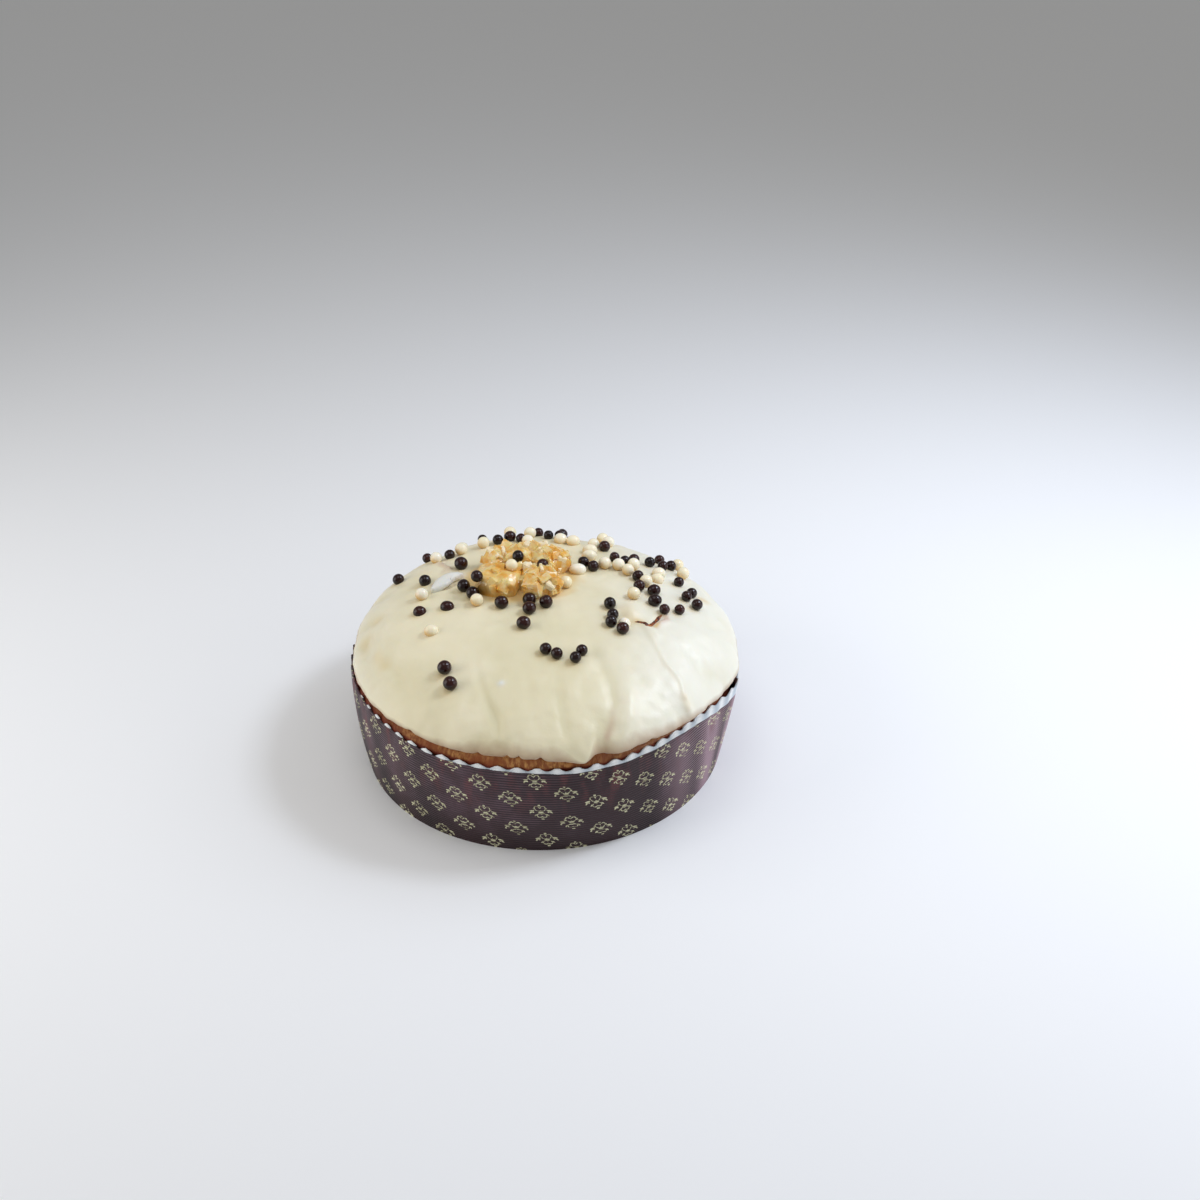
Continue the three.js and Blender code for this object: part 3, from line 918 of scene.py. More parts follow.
    def _sprigs(self, tree: Tree, sheet: Node) -> Node:
        """Prints the cream sprigs on a slanted lattice.

        Args:
            tree: The material's node tree.
            sheet: The place on the printed sheet, in mm.

        Returns:
            1 on the ink and 0 off it.
        """
        (ax, ay), (bx, by) = self.down_left, self.down_right
        area = ax * by - bx * ay
        dot = {"operation": "DOT_PRODUCT"}
        inputs = {0: sheet, 1: (*self.first_sprig, 0.0)}
        offset = add_node(tree, "VectorMath", inputs, operation="SUBTRACT")
        inputs = {0: offset, 1: (by / area, -bx / area, 0.0)}
        first = add_node(tree, "VectorMath", inputs, **dot)
        inputs = {0: offset, 1: (-ay / area, ax / area, 0.0)}
        second = add_node(tree, "VectorMath", inputs, **dot)
        steps = add_node(tree, "CombineXYZ", {0: first, 1: second})
        inputs = {0: steps, 1: (0.5, 0.5, 0.5), 2: (-0.5, -0.5, -0.5)}
        cell = add_node(tree, "VectorMath", inputs, operation="WRAP")
        inputs = {0: cell, 1: (ax + self.slant * ay, bx + self.slant * by, 0.0)}
        across = add_node(tree, "VectorMath", inputs, **dot)
        mirrored = add_node(tree, "Math", {0: across}, operation="ABSOLUTE")
        up = add_node(tree, "VectorMath", {0: cell, 1: (ay, by, 0.0)}, **dot)
        place = add_node(tree, "CombineXYZ", {0: mirrored, 1: up})
        ink = self._stroke(tree, place, self.strokes[0])
        for stroke in self.strokes[1:]:
            inputs = {0: ink, 1: self._stroke(tree, place, stroke)}
            ink = add_node(tree, "Math", inputs, operation="MAXIMUM")
        return ink

    def _stroke(self, tree: Tree, place: Node, stroke: Stroke) -> Node:
        """Prints one mark of a sprig with a soft edge.

        Args:
            tree: The material's node tree.
            place: The place from the sprig's middle, in mm.
            stroke: The mark.

        Returns:
            1 inside it and 0 outside.
        """
        inputs = {
            "Vector": place,
            "Location": (stroke.x, stroke.y, 0.0),
            "Rotation": (0.0, 0.0, math.radians(stroke.turn)),
            "Scale": (stroke.long, stroke.wide, 1.0),
        }
        local = add_node(tree, "Mapping", inputs, vector_type="TEXTURE")
        away = add_node(tree, "VectorMath", {0: local}, operation="LENGTH")
        size = math.sqrt(stroke.long * stroke.wide)
        reach = 1.0
        if stroke.line:
            past = add_node(tree, "Math", {0: away, 1: 1.0}, operation="SUBTRACT")
            away = add_node(tree, "Math", {0: past}, operation="ABSOLUTE")
            reach = stroke.line / size
        edge = self.edge / size
        inputs = {"Value": away, "From Min": reach + edge, "From Max": reach - edge}
        return add_node(tree, "MapRange", inputs, **EASED)


@dataclass(frozen=True)
class PlainPaper(Finish):
    """The case's base: plain brown baking paper with faint ribs, matt."""

    def material(self) -> bpy.types.Material:
        """Makes the plain paper.

        Returns:
            The material.
        """
        material, tree, shader = self.start("brown_baking_paper")
        place = self.place(tree)
        mottled = add_node(tree, "TexNoise", {"Vector": place, "Scale": 1 / 6.0})
        inputs = {0: mottled, 6: linear("#5f4a3c"), 7: linear("#745c4a")}
        colour = add_node(tree, "Mix", inputs, **COLOURS)
        across = add_node(tree, "SeparateXYZ", {0: place})
        inputs = {0: across, 1: 2 * math.pi / RIB_PITCH}
        turns = add_node(tree, "Math", inputs, operation="MULTIPLY")
        wave = add_node(tree, "Math", {0: turns}, operation="SINE")
        bump = add_node(tree, "Bump", {"Height": wave, "Distance": 0.12 * MM})
        wire(tree, shader, {"Base Color": colour, "Normal": bump, "Roughness": 0.8})
        return material


@dataclass(frozen=True)
class BakedCrust(Finish):
    """Sweet yeast dough, oven browned: matt, fibrous, darker and redder towards the left, darker at
    the right, and painted in shade below the rim's height.
    """

    def material(self) -> bpy.types.Material:
        """Makes the crust.

        Returns:
            The material.
        """
        material, tree, shader = self.start("baked_crust")
        place = self.place(tree)
        upright = add_node(tree, "Mapping", {"Vector": place, "Scale": (1.0, 1.0, 0.4)})
        inputs = {"Vector": upright, "Scale": 1 / 1.5, "Detail": 4.0}
        fibres = add_node(tree, "TexNoise", inputs)
        patches = add_node(tree, "TexNoise", {"Vector": place, "Scale": 1 / 14.0})
        across = add_node(tree, "SeparateXYZ", {0: place})
        above = add_node(tree, "Attribute", attribute_name="above_rim").outputs["Fac"]
        brown = self.layered(
            tree,
            linear("#8c5128"),
            Layer(fibres, 0.36, 0.66, "#c48d50"),
            Layer(patches, 0.4, 0.68, "#8c4a22"),
            Layer(across, 12.0, 40.0, "#5c3015", 0.55),
            Layer(across, -48.0, -80.0, "#6f2c10", 0.85),
            # Darker below the rim's height: painted shade inside the case
            Layer(above, 0.0, -1.6, "#6b2712"),
        )
        bump = add_node(tree, "Bump", {"Height": fibres, "Distance": 0.5 * MM})
        inputs = {"Base Color": brown, "Normal": bump, "Roughness": 0.7, "Specular IOR Level": 0.3}
        wire(tree, shader, inputs)
        return material


@dataclass(frozen=True)
class PouredIvory(Finish):
    """White chocolate coating, poured and set: satin, faintly translucent cocoa butter.

    It is darker and yellower in hollows and in the creases at the left, which is painted shade,
    yellower where syrup has run and, as painted shade, to the lower left of the dark pearls, whiter
    towards the left and right sides as a painted sheen, beige along its lower edge and wherever the
    crust shows through, and grey white where it has bloomed.
    """

    def material(self) -> bpy.types.Material:
        """Makes the coating.

        Returns:
            The material.
        """
        material, tree, shader = self.start("poured_white_chocolate")
        place = self.place(tree)
        clouds = add_node(tree, "TexNoise", {"Vector": place, "Scale": 1 / 30.0})
        across = add_node(tree, "SeparateXYZ", {0: place})
        across = add_node(tree, "Math", {0: across, 1: 22.0}, operation="ADD")
        across = add_node(tree, "Math", {0: across}, operation="ABSOLUTE")
        relief = add_node(tree, "Attribute", attribute_name="relief").outputs["Fac"]
        colour = self.layered(
            tree,
            linear("#e6dcb8"),
            Layer(clouds, 0.35, 0.65, "#eee4c3"),
            # Whiter towards the left and right sides: a painted sheen
            Layer(across, 38.0, 96.0, "#f1eede", 0.9),
            # Darker and yellower in the hollows: painted shade
            Layer(relief, 0.2, -1.6, "#d8cda0", 0.4),
        )
        wander = add_node(tree, "TexNoise", {"Vector": place, "Scale": 1 / 4.5})
        fade = add_node(tree, "Attribute", attribute_name="fade").outputs["Fac"]
        inputs = {0: wander, 1: 0.4, 2: fade}
        uneven_fade = add_node(tree, "Math", inputs, operation="MULTIPLY_ADD")
        inputs = {"Value": uneven_fade, "From Min": 1.25, "From Max": 0.25, "To Max": 0.95}
        edge = add_node(tree, "MapRange", inputs)
        inputs = {0: edge, 6: colour, 7: linear("#ae9072")}
        colour = add_node(tree, "Mix", inputs, **COLOURS)
        # The syrup colour also serves as painted shade in hollows and beside the dark pearls
        tints = {Tint.THIN: "#b98c78", Tint.SYRUP_AND_SHADE: "#ddb868", Tint.BLOOM: "#e6e6df"}
        for tint, hex_colour in tints.items():
            share = add_node(tree, "Attribute", attribute_name=tint.value).outputs["Fac"]
            inputs = {0: share, 6: colour, 7: linear(hex_colour)}
            colour = add_node(tree, "Mix", inputs, **COLOURS)
        grain = add_node(tree, "TexNoise", {"Vector": place, "Scale": 1 / 1.4})
        bump = add_node(tree, "Bump", {"Height": grain, "Distance": 0.05 * MM})
        inputs = {
            "Base Color": colour,
            "Normal": bump,
            "Roughness": 0.38,
            "Specular IOR Level": 0.45,
            "Subsurface Weight": 0.12,
            "Subsurface Radius": (1.0, 0.7, 0.4),
            "Subsurface Scale": 3 * MM,
        }
        wire(tree, shader, inputs)
        return material


@dataclass(frozen=True)
class PearlChocolate(Finish):
    """Panned chocolate pearls, polished with a thin glaze that gives a soft highlight."""

    kind: Chocolate = Chocolate.DARK

    def material(self) -> bpy.types.Material:
        """Makes the pearls' glaze in the kind's colours.

        Returns:
            The material.
        """
        material, tree, shader = self.start(f"{self.kind.value}_chocolate_pearl")
        dark = self.kind is Chocolate.DARK
        low, high = ("#120302", "#36120b") if dark else ("#f8eac4", "#fdf5df")
        tone = add_node(tree, "Attribute", attribute_name="tone").outputs["Fac"]
        colour = add_node(tree, "Mix", {0: tone, 6: linear(low), 7: linear(high)}, **COLOURS)
        # Darker on dark pearls and yellower on ivory ones towards each pearl's lower-left side:
        # painted shade
        foot = add_node(tree, "Attribute", attribute_name="foot").outputs["Fac"]
        stain_and_shade = linear("#0c0201" if dark else "#dfb877")
        colour = add_node(tree, "Mix", {0: foot, 6: colour, 7: stain_and_shade}, **COLOURS)
        inputs = {"Vector": self.place(tree), "Scale": 1 / 1.6}
        dimples = add_node(tree, "TexNoise", inputs)
        bump = add_node(tree, "Bump", {"Height": dimples, "Distance": 0.1 * MM})
        inputs = {
            "Base Color": colour,
            "Normal": bump,
            "Roughness": 0.2,
            "Specular IOR Level": 0.28 if dark else 0.4,
            "Coat Weight": 0.2,
            "Coat Roughness": 0.06,
            "Subsurface Weight": 0.0 if dark else 0.15,
            "Subsurface Radius": (1.0, 0.7, 0.4),
            "Subsurface Scale": 2 * MM,
        }
        wire(tree, shader, inputs)
        return material


@dataclass(frozen=True)
class CandiedFruit(Finish):
    """Pear boiled in syrup: pale amber, wet and translucent, paler where sugar sits on it."""

    def material(self) -> bpy.types.Material:
        """Makes the candied pear.

        Returns:
            The material.
        """
        material, tree, shader = self.start("candied_pear")
        place = self.place(tree)
        flesh = add_node(tree, "TexNoise", {"Vector": place, "Scale": 1 / 5.5})
        colour = self.layered(tree, linear("#f5b64c"), Layer(flesh, 0.34, 0.66, "#ffe29a"))
        facets = add_node(tree, "TexVoronoi", {"Vector": place, "Scale": 1 / 2.4})
        facet = add_node(tree, "SeparateXYZ", {"Vector": facets.outputs["Color"]})
        inputs = {"Value": facet, "From Min": 0.25, "From Max": 0.95, "To Max": 0.8}
        grains = add_node(tree, "MapRange", inputs, **EASED)
        sugar = add_node(tree, "Attribute", attribute_name="sugar").outputs["Fac"]
        frosted = add_node(tree, "Math", {0: sugar, 1: grains}, operation="MULTIPLY")
        inputs = {0: frosted, 6: colour, 7: linear("#fff0cf")}
        colour = add_node(tree, "Mix", inputs, **COLOURS)
        # A darker brown patch on the left chunk, under the pearl that lies there
        brown_patch = add_node(tree, "Attribute", attribute_name="brown_patch").outputs["Fac"]
        inputs = {0: brown_patch, 6: colour, 7: linear("#8a6226")}
        colour = add_node(tree, "Mix", inputs, **COLOURS)
        inputs = {"Height": facets.outputs["Distance"], "Distance": 0.25 * MM}
        bump = add_node(tree, "Bump", inputs)
        inputs = {
            "Base Color": colour,
            "Normal": bump,
            "Roughness": 0.1,
            "IOR": 1.42,
            "Specular IOR Level": 0.6,
            "Transmission Weight": 0.15,
            "Subsurface Weight": 0.4,
            "Subsurface Radius": (1.0, 0.7, 0.35),
            "Subsurface Scale": 2.5 * MM,
        }
        wire(tree, shader, inputs)
        return material


@dataclass(frozen=True)
class SugarCrystal(Finish):
    """Coarse clear sugar: hard, glassy grains that pick up the amber under them."""

    def material(self) -> bpy.types.Material:
        """Makes the sugar.

        Returns:
            The material.
        """
        material, tree, shader = self.start("coarse_sugar")
        tone = add_node(tree, "Attribute", attribute_name="tone").outputs["Fac"]
        inputs = {0: tone, 6: linear("#ffd98e"), 7: linear("#ffefcc")}
        colour = add_node(tree, "Mix", inputs, **COLOURS)
        inputs = {
            "Base Color": colour,
            "Roughness": 0.12,
            "IOR": 1.54,
            "Subsurface Weight": 0.2,
            "Subsurface Radius": (1.0, 0.8, 0.55),
            "Subsurface Scale": 0.5 * MM,
        }
        wire(tree, shader, inputs)
        return material


@dataclass(frozen=True)
class TornCrust(Finish):
    """Dark red-brown crust that shows in a tear of the coating: moist and slightly glossy."""

    def material(self) -> bpy.types.Material:
        """Makes the crust in the tear.

        Returns:
            The material.
        """
        material, tree, shader = self.start("torn_crust")
        shreds = add_node(tree, "TexNoise", {"Vector": self.place(tree), "Scale": 1 / 1.6})
        colour = self.layered(tree, linear("#3b130b"), Layer(shreds, 0.4, 0.68, "#a8592a"))
        ends = add_node(tree, "Attribute", attribute_name="end").outputs["Fac"]
        colour = add_node(tree, "Mix", {0: ends, 6: colour, 7: linear("#b9702f")}, **COLOURS)
        wire(tree, shader, {"Base Color": colour, "Roughness": 0.5})
        return material


# The object


@dataclass
class Bench:
    """Puts finished pieces into the frame."""

    centre: Vector

    def put(
        self,
        name: str,
        mesh: Mesh,
        material: bpy.types.Material,
        slot: Slot,
        nodes: tuple[str, ...],
        crease: float = 180.0,
    ) -> bpy.types.Object:
        """Turns a mesh in mm into a piece that stands for nodes of the frame.

        Args:
            name: The piece's name.
            mesh: The mesh, in mm about the middle of the base.
            material: Its finish.
            slot: The record's slot; not used.
            nodes: The nodes it stands for.
            crease: Edges sharper than this many degrees stay sharp.

        Returns:
            The piece.
        """
        mesh.transform(Matrix.Translation(self.centre) @ Matrix.Scale(MM, 4))
        mesh.shade_smooth()
        mesh.set_sharp_from_angle(angle=math.radians(crease))
        mesh.name = name
        mesh.materials.append(material)
        piece = bpy.data.objects.new(name, mesh)
        bpy.context.scene.collection.objects.link(piece)
        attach(piece, BODY)
        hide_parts(*nodes)
        log.info("%s: %d faces", name, len(mesh.polygons))
        return piece


@dataclass
class PaperCase:
    """The paper baking case: a ribbed printed wall with a scalloped rim, and a plain base."""

    bench: Bench
    form: CaseForm
    paper: float = 0.6
    rib_depth: float = 0.35
    rows_to_a_rib: int = 4
    steps_to_a_scallop: int = 7
    print_radius: float = 98.0
    print_lean: float = 0.1025
    print_lean_height: float = 25.0
    print_sag: float = 6.47
    even_height: float = 45.0
    flute_depth: float = 0.6
    flute_height: float = 5.0
    inner_rows: int = 10
    seam_bearing: float = 100.0
    seam_height: float = 0.45
    seam_taper: float = 16.0
    sharp_edge: float = 75.0
    print_tops: Ring = (
        (-179, -1.5), (-160, -0.6), (-150, 0.8), (-130, 1.5), (-112, 2.2), (-95, 2.7), (-72, 3.3),
        (-47, 4.0), (-41, 4.6), (-33, 5.8), (-22, 7.4), (-5, 8.6), (40, 9.0), (99, 9.2),
        (101, -1.0),
    )

    def build(self) -> None:
        """Builds the wall and dresses the base."""
        self._build_wall()
        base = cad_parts["case_base"]
        base.data.materials.clear()
        base.data.materials.append(PlainPaper(self.bench.centre).material())
        log.info("case_base: its own solid, dressed")

    def _outer_rows(self) -> int:
        """How many rows of faces the outer face has."""
        return round(self.form.crest_height / RIB_PITCH) * self.rows_to_a_rib

    def _all_rows(self) -> int:
        """How many rows of faces go round the paper's section."""
        return self._outer_rows() + self.inner_rows + 2

    def _station(self, top: Array, row: Array) -> tuple[Array, Array]:
        """Finds the height of a row, and whether it lies on the inner face.

        Args:
            top: Height of the scalloped edge at each corner.
            row: Share of the way up outside, over the edge and down inside.

        Returns:
            Heights, and 1 inside or 0 outside.
        """
        outer = self._outer_rows()
        index = np.rint(row * self._all_rows())
        level = np.clip(index / outer, 0.0, 1.0)
        even_share = self.even_height / self.form.crest_height
        above = np.clip((level - even_share) / (1 - even_share), 0.0, 1.0)
        even = level * self.form.crest_height
        rising = np.where(level <= even_share, even, mix(self.even_height, top, above))
        down = np.clip((index - outer - 1) / self.inner_rows, 0.0, 1.0)
        inside = (index > outer) & (index < self._all_rows())
        return np.where(inside, top * (1 - down), rising * (index <= outer)), inside.astype(float)

    def _build_wall(self) -> None:
        """Builds the wall as one sheet that goes round the paper's section."""
        around = self.form.scallops * self.steps_to_a_scallop
        mesh, turn, row = flat_grid(around, self._all_rows())
        bearing = self.form.along_rim(turn)
        height, inside = self._station(self.form.rim_top(bearing, turn), row)
        radius = self.form.wall(bearing, height) - inside * self.paper
        rib = 0.5 - 0.5 * np.cos(2 * np.pi * height / RIB_PITCH)
        radius = radius - rib * self.rib_depth
        wave = 0.5 - 0.5 * np.cos(2 * np.pi * self.form.scallops * turn)
        crest = self.form.crest_height
        near_rim = smooth(height, crest - self.flute_height, crest)
        radius = radius - wave * self.flute_depth * near_rim
        past_seam = (self.seam_bearing - bearing) % 360.0
        radius = radius + self.seam_height * (1 - smooth(past_seam, 0.0, self.seam_taper))
        border = self.form.crest(bearing) - ring_value(self.print_tops, bearing)
        mark(mesh, "above_print", height - border)
        mark(mesh, "valley", wave)
        self._lay_print(mesh, bearing, height)
        move_corners(mesh, polar(bearing, radius, height))
        weld(mesh)
        finish = PrintedPaper(self.bench.centre).material()
        nodes = ("case_wall",)
        self.bench.put("case_wall_paper", mesh, finish, Slot.CASE_WALL, nodes, self.sharp_edge)

    def _lay_print(self, mesh: Mesh, bearing: Array, height: Array) -> None:
        """Gives each face corner its place on the printed sheet, which sags and leans a little.

        Args:
            mesh: The wall, before it is welded.
            bearing: Each corner's bearing in degrees.
            height: Each corner's height in mm.
        """
        strip = (bearing - self.seam_bearing) % 360.0 + self.seam_bearing - 360.0
        turn = np.radians(strip)
        lean = self.print_lean * np.cos(turn) * (height - self.print_lean_height)
        along = turn * self.print_radius + lean
        up = height - self.print_sag * (1 + np.sin(turn))
        uv = mesh.uv_layers.new(name="print")
        index = np.empty(len(mesh.loops), dtype=np.int32)
        mesh.loops.foreach_get("vertex_index", index)
        sheet = np.stack([along[index], up[index]], axis=-1) / SHEET_UNIT
        faces = sheet.reshape(-1, 4, 2)
        jump = faces[:, :, 0].max(axis=1) - faces[:, :, 0].min(axis=1)
        length = 2 * np.pi * self.print_radius / SHEET_UNIT
        low = (jump > length / 2)[:, None] & (faces[:, :, 0] < -length / 4)
        faces[:, :, 0] = np.where(low, faces[:, :, 0] + length, faces[:, :, 0])
        uv.data.foreach_set("uv", faces.ravel())


@dataclass
class Loaf:
    """The loaf: its crust shows as a fibrous band between the coating and the rim."""

    bench: Bench
    case: CaseForm
    crown: CrownForm
    widest: float = 98.6
    floor: float = 1.1
    edge: float = 3.0
    side_gap: float = 1.3
    side_levels: tuple[float, ...] = (4.1, 25.0, 40.0)
    coat_room: float = 2.6
    cover: float = 2.5
    neck_low: float = 48.0
    spread: Pair = (52.0, 57.0)
    neck_rows: int = 40
    dome_rows: int = 10
    around: int = 480
    crag: float = 0.45
    crag_size: float = 4.0
    fibre: float = 0.16
    fibre_size: float = 1.6
    fibre_flat: Triple = (1.0, 1.0, 0.35)

    def build(self) -> None:
        """Builds the loaf from the middle of its foot up to the crown."""
        neck_from = len(self.side_levels) + 2
        rows = neck_from + self.neck_rows + self.dome_rows
        mesh, turn, row = flat_grid(self.around, rows)
        bearing = turn * 360.0
        index = np.rint(row * rows).astype(int)
        points = polar(bearing, self._side(bearing, self.floor) - self.edge, self.floor)
        points[index == 0] = (0.0, 0.0, self.floor)
        for step, height in enumerate(self.side_levels):
            side = polar(bearing, self._side(bearing, height), height)
            points = np.where((index == step + 2)[:, None], side, points)
        neck_end = neck_from + self.neck_rows
        is_neck = (index >= neck_from) & (index <= neck_end)
        neck = self._neck(bearing, np.clip((index - neck_from) / self.neck_rows, 0.0, 1.0))
        points = np.where(is_neck[:, None], self._cragged(neck), points)
        up = np.clip((index - neck_end) / self.dome_rows, 0.0, 1.0)
        start = np.arccos(np.clip(self.crown.share_at(self._top(bearing)), 0.0, 1.0))
        dome = self.crown.skin(bearing, np.cos(mix(start, np.pi / 2, up)), self.coat_room)
        points = np.where((index > neck_end)[:, None], dome, points)
        points[index == rows, :2] = 0.0
        # How far above the rim each corner lies; below it the crust is painted in shade
        mark(mesh, "above_rim", points[:, 2] - self.case.crest(bearing))
        move_corners(mesh, points)
        weld(mesh)
        finish = BakedCrust(self.bench.centre).material()
        self.bench.put("loaf_crust", mesh, finish, Slot.LOAF, ("loaf",))

    def _side(self, bearing: Array, height: Array) -> Array:
        """Radius of the loaf inside the case."""
        return np.minimum(self.case.wall(bearing, height) - self.side_gap, self.widest)

    def _top(self, bearing: Array) -> Array:
        """Height up to which the crust's band is built, a little above the coating's edge."""
        return self.crown.lip(bearing) + self.cover

    def _neck(self, bearing: Array, share: Array) -> Array:
        """Puts points on the band of crust that spreads over the rim.

        Args:
            bearing: Bearings in degrees.
            share: Shares of the way up the band.

        Returns:
            The points, one to a row.
        """
        height = mix(self.neck_low, self._top(bearing), share)
        side = self._side(bearing, np.minimum(height, self.case.crest_height))
        under = self.crown.share_at(height) * (self.crown.reach(bearing) - self.coat_room)
        return polar(bearing, mix(side, under, smooth(height, *self.spread)), height)

    def _cragged(self, points: Array) -> Array:
        """Pushes the crust's crags and fibres in or out.

        Args:
            points: Points on the smooth crust.

        Returns:
            The moved points.
        """
        flat = points * np.array(self.fibre_flat)
        out = unevenness(points, self.crag_size, 3, 6.0) * self.crag
        out = out + unevenness(flat, self.fibre_size, 2, 7.0) * self.fibre
        scale = 1 + out / np.hypot(points[:, 0], points[:, 1])
        return points * np.stack([scale, scale, np.ones_like(scale)], axis=-1)


@dataclass(frozen=True)
class Run:
    """A short run of touching pearls.

    It holds the first one's place, how many there are, their heading, how deep they are sunk,
    how much wider than high they have become, and how large they are for their kind.
    """

    x: float
    y: float
    count: int = 1
    heading: float = 0.0
    sink: float = 1.0
    wide: float = 1.0
    size: float = 1.0


@dataclass(frozen=True)
class PearChunk:
    """One chunk of candied pear, in mm and degrees, with how many cuts, shards and grains."""

    node: str
    x: float
    y: float
    length: float
    width: float
    height: float
    turn: float
    cuts: int
    shards: int
    grains: int
    frost: float


PEAR_CHUNKS = (
    PearChunk("pear_chunk_1", -1.5, 10, 10.5, 9.5, 6.6, 20, 12, 18, 16, 0.85),
    PearChunk("pear_chunk_2", -23.5, 12.5, 12.5, 10.5, 6.6, -12, 8, 7, 3, 0.1),
    PearChunk("pear_chunk_3", 3, 32.5, 11, 10, 6.6, 35, 10, 18, 26, 0.65),
    PearChunk("pear_chunk_4", -12, 33.5, 8, 9, 6.9, -20, 9, 10, 6, 0.4),
    PearChunk("pear_chunk_5", -24.5, 33, 7, 7.5, 6.1, 15, 9, 8, 5, 0.6),
)


@dataclass
class Pearls:
    """The chocolate pearls, settled against each other and clear of the pear."""

    bench: Bench
    crown: CrownForm
    pitch: float = 1.05
    rounds: int = 30
    gap: float = 0.3
    roughness: float = 0.03
    # Each pearl's lower-left side is painted in shade: the way that side faces, where the shade
    # begins and how far it takes to be full
    painted_shade_side: Triple = (-0.55, -0.35, -0.76)
    painted_shade_from: float = -0.1
    painted_shade_fade: float = 0.8
    dimple_size: float = 0.8
    slimmest: float = 0.94
    seed: int = 7
    sizes: dict[Chocolate, float] = field(
        default_factory=lambda: {Chocolate.DARK: 6.6, Chocolate.IVORY: 7.0}
    )
    runs: dict[Chocolate, tuple[Run, ...]] = field(
        default_factory=lambda: {
            Chocolate.DARK: (
                Run(-78, 37, sink=1.6), Run(-62, 23, sink=2.0, size=1.04), Run(-65, 61, size=0.9),
                Run(-52, 54, size=0.9), Run(-44, 36, size=1.15), Run(-40.5, 10.5, size=1.1),
                Run(-35.2, 2.9, size=1.06), Run(-62, -6, sink=3.2, wide=1.1),
                Run(-48, -5, sink=3.2, wide=1.15), Run(-20, -7, wide=1.1, size=1.05),
                Run(-6, -5, 2, -88, size=1.1), Run(2.5, -7.1, size=1.08),
                Run(-8, -25, wide=1.1, size=1.06), Run(9, -48, 2, 150, size=0.92),
                Run(18, -51, 2, 62, size=0.92),
                Run(-44.5, -54.1, size=1.09), Run(-41, -63.9, size=1.07), Run(34.8, -6.5),
                Run(36.2, -15.5, 2, -98, size=0.97), Run(41, -27), Run(-36, 79, size=0.88),
                Run(-26.3, 65.4, size=0.95), Run(-19.9, 69.8), Run(-13.8, 67.7, size=0.9),
                Run(-5, 85, size=0.88), Run(1, 75, 2, 8, size=0.88), Run(21, 35, 2, -38, size=0.95),
                Run(32, 57), Run(37.5, 43.8, 2, -29, size=0.9), Run(47.9, 44.2, size=0.92),
                Run(56.3, 43.6, size=0.92), Run(62, 54, size=0.9),
                Run(63.3, 42.8, 2, 45, size=0.92), Run(49.6, 24, size=0.95), Run(50, 13),
                Run(57.6, 10.8, wide=1.1), Run(57.7, 0.6, wide=1.15), Run(71.3, 27.1, size=0.87),
                Run(74.4, 11.4, 2, 62, size=0.9), Run(79.4, 5.6, size=0.95),
                Run(62.4, -6.1, size=0.87), Run(70.2, -3.0, size=0.85),
                Run(-37, 92), Run(-22, 93), Run(8, 92), Run(-6, 97),
            ),
            Chocolate.IVORY: (
                Run(-59, 52), Run(-62, 8), Run(-33, -3), Run(-54, -25, sink=2.5, wide=1.1),
                Run(10.7, 11.8), Run(-34, 63), Run(-46, 58), Run(-9.4, 79.4), Run(-11, 64),
                Run(8, 68, 2, -20, 1.5, 1.15), Run(18, 27, sink=2, wide=1.35),
                Run(24, 44, 2, 88, 1.8, 1.25), Run(26.8, 60, sink=2), Run(31, 80),
                Run(34.2, 67), Run(32.2, 35, 2, -8), Run(44, 29.5), Run(47.5, 36),
                Run(61, 33, 2, -98, 2.4, 1.1), Run(52, 20), Run(47, 4), Run(69.5, 50),
                Run(74, 40.7), Run(-20.5, 81), Run(40.6, -21.6, sink=3.2), Run(31, 93), Run(-48, 86),
            ),
        }
    )
    # Pearls that lie between the chunks of pear: x, y and height of the middle
    on_pear: dict[Chocolate, tuple[Triple, ...]] = field(
        default_factory=lambda: {
            Chocolate.DARK: ((-13, 25, 95.4), (0, 21.5, 92.5), (-33.1, 5, 95.3)),
            Chocolate.IVORY: ((-16, 15.5, 95.4),),
        }
    )
    on_nodes: dict[Chocolate, tuple[str, ...]] = field(
        default_factory=lambda: {
            Chocolate.DARK: ("coating", "pear_chunk_2", "pear_chunk_3", "pear_chunk_4"),
            Chocolate.IVORY: ("coating", "pear_chunk_2"),
        }
    )

    def build(self) -> None:
        """Builds the pearls of each kind as one piece."""
        places = self.places()
        draw = random.Random(self.seed)
        for kind in Chocolate:
            bm = bmesh.new()
            bm.verts.layers.float.new("tone")
            bm.verts.layers.float.new("foot")
            radius = self.sizes[kind] / 2
            for x, y, run in places[kind]:
                spot = self.crown.over(x, y, radius * run.size - run.sink)
                self._add_pearl(bm, spot, radius * run.size, run.wide, draw)
            for place in self.on_pear[kind]:
                self._add_pearl(bm, Vector(place), radius, 1.0, draw)
            finish = PearlChocolate(self.bench.centre, kind).material()
            name = f"{kind.value}_chocolate_pearls"
            self.bench.put(name, finished(bm, "pearls"), finish, Slot.COATING, self.on_nodes[kind])
            log.info("%s: %d pearls", name, len(places[kind]) + len(self.on_pear[kind]))

